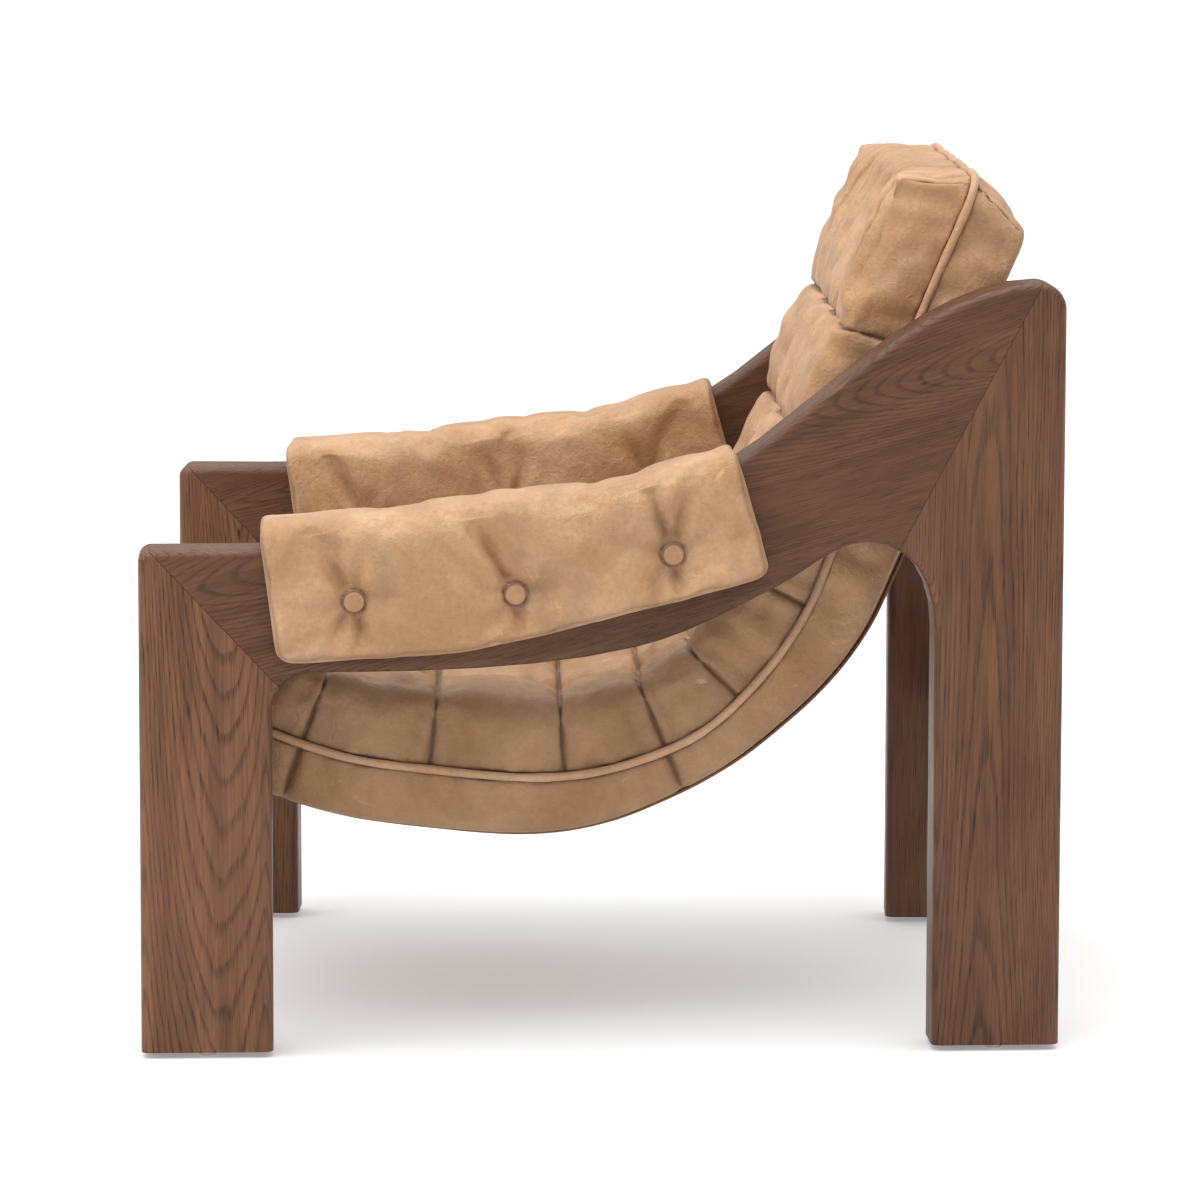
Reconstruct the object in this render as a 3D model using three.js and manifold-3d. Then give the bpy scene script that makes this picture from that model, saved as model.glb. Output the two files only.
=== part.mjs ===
// Lounge armchair: two mitred wooden side frames joined by round cross rails and a stretcher,
// a double leather sling hung between the rails, a quilted leather cushion lying in the sling,
// and a leather pad saddled over each arm. Millimetres, +Z up. The chair faces -Y, its left
// side (the sitter's left hand) is +X, and the origin is on the floor under its middle.
import * as THREE from "three";
import { mergeVertices } from "three/addons/utils/BufferGeometryUtils.js";
import Module from "manifold-3d";

const wasm = await Module();
wasm.setup();

// ---------------------------------------------------------------- driving dimensions
const FIT_GAP = 0.4; // clearance between touching pieces

// Side frames
const HALF_DEPTH = 457; // front face and rear face of a side frame
const FLOOR_GAP = 6; // the legs stand this far off the floor, on their glides
const BOARD = 63; // thickness of the boards
const EDGE_ROUND = 9; // rounding along every long edge of the boards
const ARM_FRONT_TOP = 508;
const REAR_TOP = 769;
const ARM_UNDERSIDE = 385;
const FRONT_LEG_WIDTH = 130.6;
const REAR_LEG_WIDTH = 127.7;
const REAR_TOP_ROUND = 28;
const FRONT_TOP_ROUND = 12;
const INNER_CORNER_ROUND = 38.4;
const TOE = THREE.MathUtils.degToRad(2.2); // the frames stand wider apart at the front
const BOARD_MIDDLE = 338.9; // half the distance between the boards' mid planes, at Y = 0

// Mitre joints: the two ends of each joint line, in the side view (Y, Z)
const FRONT_MITRE = [new THREE.Vector2(-447, 508), new THREE.Vector2(-318, 370)];
const REAR_MITRE = [new THREE.Vector2(434, 770), new THREE.Vector2(291, 501)];
const TENON_THICKNESS = 14;
const FRONT_TENON = { width: 84, length: 64 };
const REAR_TENON = { width: 140, length: 80 };

// Cross rails and stretcher
const RAIL_RADIUS = 22;
const RAIL_SOCKET = 20; // how far a rail enters each leg
const STRETCHER = { y: 400, z: 292, height: 88, thickness: 28, round: 5 };
const FRONT_RAIL_AT = 44; // distance along the cushion's seam line, from its front end
const TOP_RAIL_AT = 985;

// Glides
const GLIDE_RADIUS = 9;
const GLIDE_FOOT = 4.2;
const GLIDE_OUT = 11; // the glides stand this far outside the middle of the boards
const STEM_RADIUS = 4;
const STEM_TOP = 42;
const INSERT_RADIUS = 6.5;
const INSERT_TOP = 30;

// Sling
const SLING_THICKNESS = 3;
const SLING_HALF_WIDTH = 256;
const LAYER_GAP = 1;
const CUSHION_REST = 1.5; // room between the cushion and the sling

// Cushion: the seam line in the side view (Y, Z), from the front edge to the head
const SEAM_LINE = [
  [-423, 362],
  [-327, 315],
  [-250, 289],
  [-161, 276],
  [-60, 268],
  [9, 276],
  [99, 311],
  [164, 372],
  [206, 434],
  [233, 500],
  [321, 740],
  [366, 846],
  [374, 872],
];
const CUSHION_SIDE_GAP = 7.6; // between a cushion's side and the frame's inner face
const SEAM_ROUND = 12;
const TOP_ROUND = 26;
const TOP_CROWN = 8;
const SEAT_TOP = 76; // thickness above the seam line, on the seat and at the head
const HEAD_TOP = 62;
const SEAT_BASE = 60; // thickness below it, on the seat, at the head and in the bend
const HEAD_BASE = 67;
const BEND_LOSS = 17;
const BEND_AT = 545;
const BEND_REACH = 120;
const END_TAPER = 24; // the ends draw in by this much on each side
const WELT_RADIUS = 4;

// Arm pads
const PAD_THICKNESS = 22;
const PAD_ROUND = 8;
const PAD_WIDTH = BOARD + 2 * PAD_THICKNESS; // over both faces of the saddled pad
const BUTTON_RADIUS = 11;
const POCKET_DEPTH = 4;
const SHANK_RADIUS = 2;
const BUTTONS = [
  [-245.5, 458.5],
  [-87, 465],
  [68, 503.4],
];
const INNER_BUTTON_DROP = 10;

// ---------------------------------------------------------------- materials
const wood = (tone) =>
  new THREE.MeshStandardMaterial({ color: tone, roughness: 0.55, metalness: 0 });
const leather = (tone) =>
  new THREE.MeshStandardMaterial({ color: tone, roughness: 0.72, metalness: 0 });
const WALNUT = 0x6b4a37;
const HIDDEN_WOOD = 0xa9825c;
const TAN = 0xc39a70;
const TAN_SHADE = 0xa98560;
const SADDLE = 0x8a6647;
const steel = () =>
  new THREE.MeshStandardMaterial({ color: 0xb9b4aa, roughness: 0.35, metalness: 0.9 });
const nylon = () =>
  new THREE.MeshStandardMaterial({ color: 0xd8d2c6, roughness: 0.4, metalness: 0 });

// ---------------------------------------------------------------- solids and placing
// A closed geometry as a manifold-3d solid.
function solid(geometry) {
  const bare = geometry.clone();
  bare.deleteAttribute("normal");
  bare.deleteAttribute("uv");
  const merged = mergeVertices(bare, 1e-4);
  return new wasm.Manifold(
    new wasm.Mesh({
      numProp: 3,
      vertProperties: merged.attributes.position.array,
      triVerts: new Uint32Array(merged.index.array),
    }),
  );
}

// A manifold-3d solid as a geometry.
function geometryOf(made) {
  const mesh = made.getMesh();
  const geometry = new THREE.BufferGeometry();
  geometry.setAttribute("position", new THREE.BufferAttribute(mesh.vertProperties, 3));
  geometry.setIndex(new THREE.BufferAttribute(mesh.triVerts, 1));
  geometry.computeVertexNormals();
  return geometry;
}

function cut(geometry, ...tools) {
  return geometryOf(tools.reduce((left, tool) => left.subtract(solid(tool)), solid(geometry)));
}

function named(name, geometry, material) {
  const mesh = new THREE.Mesh(geometry, material);
  mesh.name = name;
  return mesh;
}

// A side-view shape (Y, Z) extruded across the chair, centred on X = 0.
function acrossChair(shape, thickness, { round = 0, curveSegments = 6, steps = 4 } = {}) {
  const geometry = new THREE.ExtrudeGeometry(shape, {
    depth: thickness - 2 * round,
    bevelEnabled: round > 0,
    bevelThickness: round,
    bevelSize: round,
    bevelOffset: -round,
    bevelSegments: steps,
    curveSegments,
  });
  geometry.translate(0, 0, round - thickness / 2);
  // (x, y, z) -> (Y, Z, X): a cyclic swap, so the faces stay turned out
  const swap = new THREE.Matrix4().set(0, 0, 1, 0, 1, 0, 0, 0, 0, 1, 0, 0, 0, 0, 0, 1);
  return geometry.applyMatrix4(swap);
}

function polygon(points) {
  return new THREE.Shape(points.map(([y, z]) => new THREE.Vector2(y, z)));
}

// Where a side frame stands: side is +1 on the left and -1 on the right.
function sidePlacement(side) {
  return new THREE.Matrix4()
    .makeTranslation(side * BOARD_MIDDLE, 0, 0)
    .multiply(new THREE.Matrix4().makeRotationZ(side * TOE));
}

// Half the clear width between the side frames at a distance y along the chair.
function innerHalfWidth(y) {
  return BOARD_MIDDLE - BOARD / 2 / Math.cos(TOE) - y * Math.tan(TOE);
}

// ---------------------------------------------------------------- side frames
function sideFrameShape() {
  const front = -HALF_DEPTH;
  const frontInner = front + FRONT_LEG_WIDTH;
  const rearInner = HALF_DEPTH - REAR_LEG_WIDTH;
  const below = -20; // the legs are cut to length afterwards, so that their ends stay square
  const corner = [frontInner + INNER_CORNER_ROUND, ARM_UNDERSIDE - INNER_CORNER_ROUND];
  const rearTop = [HALF_DEPTH - REAR_TOP_ROUND, REAR_TOP - REAR_TOP_ROUND];
  const frontTop = [front + FRONT_TOP_ROUND, ARM_FRONT_TOP - FRONT_TOP_ROUND];
  const quarter = Math.PI / 2;
  const shape = new THREE.Shape();
  shape.moveTo(front, below);
  shape.lineTo(frontInner, below);
  shape.lineTo(frontInner, corner[1]);
  shape.absarc(...corner, INNER_CORNER_ROUND, 2 * quarter, quarter, true);
  // the arm's underside climbs towards the rear arch
  shape.bezierCurveTo(-190, ARM_UNDERSIDE, -60, 386, 33, 408.5);
  shape.bezierCurveTo(85, 421, 118, 441, 176, 470);
  shape.bezierCurveTo(212, 490, 231, 512, 262, 512);
  shape.bezierCurveTo(305, 512, rearInner, 472, rearInner, 425);
  shape.lineTo(rearInner, below);
  shape.lineTo(HALF_DEPTH, below);
  shape.lineTo(HALF_DEPTH, rearTop[1]);
  shape.absarc(...rearTop, REAR_TOP_ROUND, 0, quarter, false);
  // the top edge sweeps down from the rear leg into the arm
  shape.bezierCurveTo(378, REAR_TOP, 318, 738, 257, 690);
  shape.lineTo(158, 611);
  shape.bezierCurveTo(98, 563, 10, 549, -80, 534);
  shape.bezierCurveTo(-180, 519, -260, ARM_FRONT_TOP, -360, ARM_FRONT_TOP);
  shape.lineTo(frontTop[0], ARM_FRONT_TOP);
  shape.absarc(...frontTop, FRONT_TOP_ROUND, quarter, 2 * quarter, false);
  return shape;
}

// Everything on the leg's side of a mitre line, pushed back from the line by `back`.
function mitreRegion([high, low], outward, back) {
  const along = high.clone().sub(low).normalize();
  const normal = new THREE.Vector2(-along.y, along.x).multiplyScalar(-outward * back);
  const top = high.clone().addScaledVector(along, 90).add(normal);
  const bottom = low.clone().addScaledVector(along, -40).add(normal);
  const far = outward * 640;
  return acrossChair(
    polygon([
      [top.x, top.y],
      [bottom.x, bottom.y],
      [bottom.x, -100],
      [far, -100],
      [far, 900],
      [top.x, 900],
    ]),
    BOARD * 2,
  );
}

// A loose tenon across a mitre: a flat block with rounded ends to its section.
function tenonGeometry([high, low], { width, length }, grow = 0) {
  const middle = high.clone().add(low).multiplyScalar(0.5);
  const along = high.clone().sub(low);
  const across = TENON_THICKNESS / 2 + grow;
  const reach = width / 2 + grow;
  const section = new THREE.Shape();
  section.moveTo(-reach + across, -across);
  section.lineTo(reach - across, -across);
  section.absarc(reach - across, 0, across, -Math.PI / 2, Math.PI / 2, false);
  section.lineTo(-reach + across, across);
  section.absarc(-reach + across, 0, across, Math.PI / 2, (3 * Math.PI) / 2, false);
  const depth = length + 2 * grow;
  const options = { depth, bevelEnabled: false, curveSegments: 4 };
  const geometry = new THREE.ExtrudeGeometry(section, options).translate(0, 0, -depth / 2);
  // section x -> along the mitre, section y -> across the board, depth -> through the joint
  const t = along.normalize();
  geometry.applyMatrix4(
    new THREE.Matrix4().set(0, 1, 0, 0, t.x, 0, t.y, middle.x, t.y, 0, -t.x, middle.y, 0, 0, 0, 1),
  );
  return geometry;
}

// A rod along X, centred on the origin.
function rod(radius, length, sides) {
  return new THREE.CylinderGeometry(radius, radius, length, sides).rotateZ(Math.PI / 2);
}

function railGeometry(rail, grow = 0) {
  const length = 2 * (innerHalfWidth(rail.y) + RAIL_SOCKET + 2 * grow);
  return rod(RAIL_RADIUS + grow, length, 32).translate(0, rail.y, rail.z);
}

function roundedRectangle(width, height, round) {
  const shape = new THREE.Shape();
  const x = width / 2;
  const y = height / 2;
  shape.moveTo(-x + round, -y);
  shape.lineTo(x - round, -y);
  shape.absarc(x - round, -y + round, round, -Math.PI / 2, 0, false);
  shape.absarc(x - round, y - round, round, 0, Math.PI / 2, false);
  shape.absarc(-x + round, y - round, round, Math.PI / 2, Math.PI, false);
  shape.absarc(-x + round, -y + round, round, Math.PI, (3 * Math.PI) / 2, false);
  return shape;
}

function stretcherGeometry(grow = 0) {
  const { y, z, height, thickness, round } = STRETCHER;
  const section = roundedRectangle(thickness + 2 * grow, height + 2 * grow, round);
  const length = 2 * (innerHalfWidth(y) + RAIL_SOCKET + 2 * grow);
  return acrossChair(section, length, { curveSegments: 4 }).translate(0, y, z);
}

function glideHole(side, y) {
  const height = STEM_TOP + 4;
  const radius = INSERT_RADIUS + FIT_GAP;
  const geometry = new THREE.CylinderGeometry(radius, radius, height, 20);
  return geometry.rotateX(Math.PI / 2).translate(side * GLIDE_OUT, y, height / 2);
}

// The block that trims the legs square, a little above the floor.
function floorCut() {
  const depth = 100;
  const block = new THREE.BoxGeometry(4 * BOARD, 4 * HALF_DEPTH, depth);
  return block.translate(0, 0, FLOOR_GAP - depth / 2);
}

const FRONT_LEG_MIDDLE = -HALF_DEPTH + FRONT_LEG_WIDTH / 2;
const REAR_LEG_MIDDLE = HALF_DEPTH - REAR_LEG_WIDTH / 2;

function sideBoards(side, rails) {
  const name = side > 0 ? "left" : "right";
  const whole = () => acrossChair(sideFrameShape(), BOARD, { round: EDGE_ROUND });
  const toBoard = sidePlacement(side).invert();
  const sockets = rails.map((rail) => railGeometry(rail, FIT_GAP).applyMatrix4(toBoard));
  const housing = stretcherGeometry(FIT_GAP).applyMatrix4(toBoard);
  const frontMortise = () => tenonGeometry(FRONT_MITRE, FRONT_TENON, FIT_GAP);
  const rearMortise = () => tenonGeometry(REAR_MITRE, REAR_TENON, FIT_GAP);

  const frontLeg = solid(whole())
    .intersect(solid(mitreRegion(FRONT_MITRE, -1, FIT_GAP / 2)))
    .subtract(solid(frontMortise()))
    .subtract(solid(sockets[0]))
    .subtract(solid(glideHole(side, FRONT_LEG_MIDDLE)))
    .subtract(solid(floorCut()));
  const rearLeg = solid(whole())
    .intersect(solid(mitreRegion(REAR_MITRE, 1, FIT_GAP / 2)))
    .subtract(solid(rearMortise()))
    .subtract(solid(sockets[1]))
    .subtract(solid(housing))
    .subtract(solid(glideHole(side, REAR_LEG_MIDDLE)))
    .subtract(solid(floorCut()));
  const arm = solid(whole())
    .subtract(solid(mitreRegion(FRONT_MITRE, -1, -FIT_GAP / 2)))
    .subtract(solid(mitreRegion(REAR_MITRE, 1, -FIT_GAP / 2)))
    .subtract(solid(frontMortise()))
    .subtract(solid(rearMortise()))
    .subtract(solid(sockets[1])); // the top rail sits across the rear mitre
  return [
    named("front_leg_" + name, geometryOf(frontLeg), wood(WALNUT)),
    named("rear_leg_" + name, geometryOf(rearLeg), wood(WALNUT)),
    named("arm_rail_" + name, geometryOf(arm), wood(WALNUT)),
    named("front_mitre_tenon_" + name, tenonGeometry(FRONT_MITRE, FRONT_TENON), wood(HIDDEN_WOOD)),
    named("rear_mitre_tenon_" + name, tenonGeometry(REAR_MITRE, REAR_TENON), wood(HIDDEN_WOOD)),
  ];
}

// ---------------------------------------------------------------- glides
// A levelling glide: a nylon foot on a steel stem, drawn as one turned piece.
function glideGeometry() {
  const profile = [
    [0, 0],
    [GLIDE_RADIUS - 1, 0],
    [GLIDE_RADIUS, 1],
    [GLIDE_RADIUS, GLIDE_FOOT - 1],
    [GLIDE_RADIUS - 1, GLIDE_FOOT],
    [STEM_RADIUS, GLIDE_FOOT],
    [STEM_RADIUS, STEM_TOP - 1],
    [STEM_RADIUS - 1, STEM_TOP],
    [0, STEM_TOP],
  ];
  return turned(profile, 16);
}

// The threaded insert that the glide screws into, with a flange under the leg.
function insertGeometry() {
  const bore = STEM_RADIUS + 0.1; // a running fit for the stem
  const flange = { radius: 10, low: GLIDE_FOOT + 0.4, high: FLOOR_GAP - 0.3 };
  const profile = [
    [bore, flange.low],
    [flange.radius, flange.low],
    [flange.radius, flange.high],
    [INSERT_RADIUS, flange.high],
    [INSERT_RADIUS, INSERT_TOP],
    [bore, INSERT_TOP],
    [bore, flange.low],
  ];
  return turned(profile, 16);
}

function turned(profile, segments) {
  const points = profile.map(([radius, height]) => new THREE.Vector2(radius, height));
  return new THREE.LatheGeometry(points, segments).rotateX(Math.PI / 2);
}

function footOf(place, side, y) {
  const name = place + "_" + (side > 0 ? "left" : "right");
  const group = new THREE.Group();
  group.position.set(side * GLIDE_OUT, y, 0);
  group.add(named("glide_" + name, glideGeometry(), nylon()));
  group.add(named("glide_insert_" + name, insertGeometry(), steel()));
  return group;
}

// ---------------------------------------------------------------- arm pads
function padShape() {
  const shape = new THREE.Shape();
  shape.moveTo(-296, 399);
  shape.bezierCurveTo(-240, 401, -150, 404, -100, 415);
  shape.bezierCurveTo(-50, 425, 30, 446, 136, 473.5);
  shape.quadraticCurveTo(164, 481, 157, 504);
  shape.lineTo(139, 576);
  shape.quadraticCurveTo(131, 607, 104, 600);
  shape.bezierCurveTo(70, 591, 30, 577, -20, 570);
  shape.bezierCurveTo(-100, 559, -200, 545, -300, 541);
  shape.quadraticCurveTo(-343, 539, -338, 510);
  shape.lineTo(-326, 424);
  shape.quadraticCurveTo(-322, 398, -297, 398.9);
  return shape;
}

// The part of the pad's inner side that would meet the back cushion.
function innerRelief(side) {
  const shape = polygon([
    [122, 420],
    [200, 420],
    [200, 640],
    [140, 640],
    [126, 560],
  ]);
  return acrossChair(shape, BOARD).translate(-side * BOARD, 0, 0);
}

// The buttons of a pad's inner face sit a little lower than those of its outer face.
function buttonPlaces(face, side) {
  const drop = face === side ? 0 : INNER_BUTTON_DROP;
  return BUTTONS.map(([y, z]) => [y, z - drop]);
}

// The dimple that a button sits in and the hole for its shank, on one face of a pad.
function buttonSeat(face, [y, z]) {
  const dimple = rod(BUTTON_RADIUS + 1.5, 2 * POCKET_DEPTH, 12);
  const hole = rod(SHANK_RADIUS + 0.6, 26, 8);
  return [dimple, hole].map((tool) => tool.translate((face * PAD_WIDTH) / 2, y, z));
}

function armPad(side) {
  const bevel = { round: PAD_ROUND, steps: 2, curveSegments: 4 };
  const outer = acrossChair(padShape(), PAD_WIDTH, bevel);
  const slot = acrossChair(sideFrameShape(), BOARD + 2 * FIT_GAP).translate(0, 0, 1.5 * FIT_GAP);
  const seatsOf = (face) => buttonPlaces(face, side).flatMap((place) => buttonSeat(face, place));
  const seats = [1, -1].flatMap(seatsOf);
  return cut(outer, slot, innerRelief(side), ...seats);
}

// A covered button: a shallow dome on a short shank, its axis along +X.
function buttonGeometry() {
  const rim = 2.4;
  const profile = [
    [0, -3 * SHANK_RADIUS],
    [SHANK_RADIUS, -3 * SHANK_RADIUS],
    [SHANK_RADIUS, 0],
    [BUTTON_RADIUS, 0],
    [BUTTON_RADIUS, rim],
    [BUTTON_RADIUS * 0.6, rim + 2],
    [0, rim + 2.6],
  ];
  return turned(profile, 12).rotateY(Math.PI / 2);
}

function padAndButtons(side) {
  const name = side > 0 ? "left" : "right";
  const group = new THREE.Group();
  group.add(named("arm_pad_" + name, armPad(side), leather(TAN)));
  const pocketFloor = PAD_WIDTH / 2 - POCKET_DEPTH + FIT_GAP;
  for (const face of [1, -1]) {
    const where = face === side ? "outer" : "inner";
    buttonPlaces(face, side).forEach(([y, z], index) => {
      const label = `pad_button_${name}_${where}_${index + 1}`;
      const button = named(label, buttonGeometry(), leather(TAN_SHADE));
      button.position.set(face * pocketFloor, y, z);
      button.rotation.z = face > 0 ? 0 : Math.PI;
      group.add(button);
    });
  }
  return group;
}

function sideAssembly(side, rails) {
  const group = new THREE.Group();
  group.applyMatrix4(sidePlacement(side));
  group.add(...sideBoards(side, rails));
  group.add(footOf("front", side, FRONT_LEG_MIDDLE));
  group.add(footOf("rear", side, REAR_LEG_MIDDLE));
  group.add(padAndButtons(side));
  return group;
}

// ---------------------------------------------------------------- cushion
const seamCurve = new THREE.CatmullRomCurve3(
  SEAM_LINE.map(([y, z]) => new THREE.Vector3(0, y, z)),
  false,
  "centripetal",
);
const SEAM_LENGTH = seamCurve.getLength();

// The seam line's point at a distance s from its front end, and the direction to the sitter there.
function seamFrame(s) {
  const u = THREE.MathUtils.clamp(s / SEAM_LENGTH, 0, 1);
  const tangent = seamCurve.getTangentAt(u);
  const point = seamCurve.getPointAt(u).addScaledVector(tangent, s - u * SEAM_LENGTH);
  return { point, up: new THREE.Vector3(0, -tangent.z, tangent.y) };
}

function topThickness(s) {
  return THREE.MathUtils.lerp(SEAT_TOP, HEAD_TOP, THREE.MathUtils.smoothstep(s, 800, SEAM_LENGTH));
}

function baseThickness(s) {
  const plain = THREE.MathUtils.lerp(SEAT_BASE, HEAD_BASE, THREE.MathUtils.smoothstep(s, 600, 900));
  return plain - BEND_LOSS * Math.exp(-(((s - BEND_AT) / BEND_REACH) ** 2));
}

// How full the cushion is at a distance s: 1 along its length, less towards its two ends.
function fullness(s, frontReach, headReach) {
  const rounding = (distance, reach) => {
    const t = THREE.MathUtils.clamp(distance / reach, 0, 1);
    return (1 - (1 - t) ** 2.2) ** (1 / 2.2);
  };
  return Math.min(rounding(s + 6, frontReach), rounding(SEAM_LENGTH - s + 6, headReach));
}

function cushionHalfWidth(s) {
  return innerHalfWidth(seamFrame(s).point.y) - CUSHION_SIDE_GAP;
}

// Half of the cushion, above (+1) or below (-1) the seam line.
function cushionHalf(up, thickness, frontReach, headReach) {
  const full = 80; // the section is drawn at this height and scaled to the thickness
  const half = 300; // and at this half width
  const low = FIT_GAP;
  const quarter = Math.PI / 2;
  const seam = { x: half - SEAM_ROUND, y: low + SEAM_ROUND };
  const edge = { x: half - TOP_ROUND, y: full - TOP_ROUND - TOP_CROWN };
  const section = new THREE.Shape();
  section.moveTo(-seam.x, low);
  section.lineTo(seam.x, low);
  section.absarc(seam.x, seam.y, SEAM_ROUND, -quarter, 0, false);
  section.absarc(edge.x, edge.y, TOP_ROUND, 0, quarter, false);
  section.quadraticCurveTo(0, full + TOP_CROWN, -edge.x, full - TOP_CROWN);
  section.absarc(-edge.x, edge.y, TOP_ROUND, quarter, 2 * quarter, false);
  section.absarc(-seam.x, seam.y, SEAM_ROUND, 2 * quarter, 3 * quarter, false);
  const options = { depth: 1, steps: 36, bevelEnabled: false, curveSegments: 2 };
  const geometry = new THREE.ExtrudeGeometry(section, options);
  const position = geometry.attributes.position;
  for (let i = 0; i < position.count; i++) {
    const z = position.getZ(i);
    const even = up > 0 ? 1 - z : z;
    const s = SEAM_LENGTH * (even - 0.1 * Math.sin(2 * Math.PI * even)); // closer at the ends
    const fill = fullness(s, frontReach, headReach);
    const frame = seamFrame(s);
    const width = (cushionHalfWidth(s) - END_TAPER * (1 - fill)) / half;
    const height = low + ((position.getY(i) - low) * thickness(s) * fill) / full;
    const place = frame.point.addScaledVector(frame.up, up * height);
    position.setXYZ(i, position.getX(i) * width, place.y, place.z);
  }
  return geometry;
}

// The piping round the seam: one cord that starts and ends behind the head.
function weltGeometry() {
  const proud = 2;
  const corner = 16;
  const ends = WELT_RADIUS + 2.4;
  const side = (sign, from, to, count) =>
    Array.from({ length: count }, (_, i) => {
      const s = THREE.MathUtils.lerp(from, to, i / (count - 1));
      const point = seamFrame(s).point;
      return new THREE.Vector3(sign * (cushionHalfWidth(s) + proud), point.y, point.z);
    });
  const across = (s, from, to, count) =>
    Array.from({ length: count }, (_, i) => {
      const point = seamFrame(s).point;
      return new THREE.Vector3(THREE.MathUtils.lerp(from, to, i / (count - 1)), point.y, point.z);
    });
  const last = SEAM_LENGTH - corner;
  const frontWidth = cushionHalfWidth(0) - corner;
  const headWidth = cushionHalfWidth(SEAM_LENGTH) - corner;
  const path = new THREE.CatmullRomCurve3(
    [
      ...across(SEAM_LENGTH + ends, 0.3, headWidth, 4),
      ...side(1, last, corner, 26),
      ...across(-ends, frontWidth, -frontWidth, 6),
      ...side(-1, corner, last, 26),
      ...across(SEAM_LENGTH + ends, -headWidth, -0.3, 4),
    ],
    false,
    "centripetal",
  );
  const section = new THREE.Shape();
  section.absarc(0, 0, WELT_RADIUS, 0, 2 * Math.PI, false);
  return new THREE.ExtrudeGeometry(section, { steps: 130, extrudePath: path, curveSegments: 3 });
}

function cushion() {
  const group = new THREE.Group();
  group.add(named("cushion_top", cushionHalf(1, topThickness, 70, 80), leather(TAN)));
  group.add(named("cushion_base", cushionHalf(-1, baseThickness, 70, 90), leather(TAN_SHADE)));
  group.add(named("cushion_welt", weltGeometry(), leather(TAN)));
  return group;
}

// ---------------------------------------------------------------- rails and sling
// A rail lies under the sling, so its centre follows from the cushion and the sling.
function railUnder(s) {
  const frame = seamFrame(s);
  const layers = 2 * SLING_THICKNESS + LAYER_GAP + FIT_GAP;
  const drop = baseThickness(s) + CUSHION_REST + layers + RAIL_RADIUS;
  const centre = frame.point.clone().addScaledVector(frame.up, -drop);
  return { s, y: centre.y, z: centre.z, contact: Math.atan2(frame.up.z, frame.up.y) };
}

// One leather layer: it follows the cushion's underside at a depth, and wraps round both rails.
function slingLayer(depth, rails) {
  const [front, top] = rails;
  const wrapRadius = RAIL_RADIUS + FIT_GAP + 2 * SLING_THICKNESS + LAYER_GAP - depth;
  const wrap = (rail, turn, count) =>
    Array.from({ length: count }, (_, i) => {
      const angle = rail.contact + (turn * i) / (count - 1);
      return new THREE.Vector3(
        0,
        rail.y + wrapRadius * Math.cos(angle),
        rail.z + wrapRadius * Math.sin(angle),
      );
    });
  const body = [];
  for (let s = front.s + 40; s < top.s - 30; s += 40) {
    const frame = seamFrame(s);
    body.push(frame.point.addScaledVector(frame.up, -(baseThickness(s) + CUSHION_REST + depth)));
  }
  const wrapTurn = 1.3 * Math.PI;
  const path = new THREE.CatmullRomCurve3(
    [...wrap(front, wrapTurn, 12).reverse(), ...body, ...wrap(top, -wrapTurn, 12)],
    false,
    "centripetal",
  );
  const steps = 2 * (path.points.length - 1);
  const edge = (offset) =>
    Array.from({ length: steps + 1 }, (_, i) => {
      const tangent = path.getTangent(i / steps);
      const point = path.getPoint(i / steps);
      return new THREE.Vector2(point.y - tangent.z * offset, point.z + tangent.y * offset);
    });
  const half = SLING_THICKNESS / 2;
  const shape = new THREE.Shape([...edge(-half), ...edge(half).reverse()]);
  return acrossChair(shape, 2 * SLING_HALF_WIDTH);
}

function railsAndSling(rails) {
  const group = new THREE.Group();
  const [front, top] = rails;
  group.add(named("front_rail", railGeometry(front), wood(WALNUT)));
  group.add(named("top_rail", railGeometry(top), wood(WALNUT)));
  group.add(named("rear_stretcher", stretcherGeometry(), wood(WALNUT)));
  const inner = SLING_THICKNESS / 2;
  const outer = inner + SLING_THICKNESS + LAYER_GAP;
  group.add(named("sling_inner_layer", slingLayer(inner, rails), leather(SADDLE)));
  group.add(named("sling_outer_layer", slingLayer(outer, rails), leather(SADDLE)));
  return group;
}

// ---------------------------------------------------------------- the chair
const rails = [railUnder(FRONT_RAIL_AT), railUnder(TOP_RAIL_AT)];
const group = new THREE.Group();
group.add(sideAssembly(1, rails), sideAssembly(-1, rails), railsAndSling(rails), cushion());

export default group;
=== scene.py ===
"""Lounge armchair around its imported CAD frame: the boards, rails and glides stay CAD nodes with better
materials, and the cushion, its piping, the arm pads, their buttons and the sling are made here.
Metres, +Z up. The chair faces -Y, and +X is the sitter's left."""

import math

import bpy
import numpy as np
from mathutils import Matrix, Vector


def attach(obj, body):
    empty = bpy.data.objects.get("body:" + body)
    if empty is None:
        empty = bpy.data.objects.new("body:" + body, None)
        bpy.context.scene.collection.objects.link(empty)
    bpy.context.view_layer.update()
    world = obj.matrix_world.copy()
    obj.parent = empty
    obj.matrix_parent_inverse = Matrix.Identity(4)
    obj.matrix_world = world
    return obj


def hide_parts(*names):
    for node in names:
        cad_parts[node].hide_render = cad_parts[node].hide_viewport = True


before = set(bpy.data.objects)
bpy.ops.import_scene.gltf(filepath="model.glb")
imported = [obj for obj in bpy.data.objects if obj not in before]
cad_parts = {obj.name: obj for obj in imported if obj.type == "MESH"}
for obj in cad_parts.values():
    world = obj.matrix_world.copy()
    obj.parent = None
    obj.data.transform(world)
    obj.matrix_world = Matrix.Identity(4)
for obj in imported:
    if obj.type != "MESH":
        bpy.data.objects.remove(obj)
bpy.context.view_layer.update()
CHAIR = "chair"
SIDES = {"left": 1, "right": -1}

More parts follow.
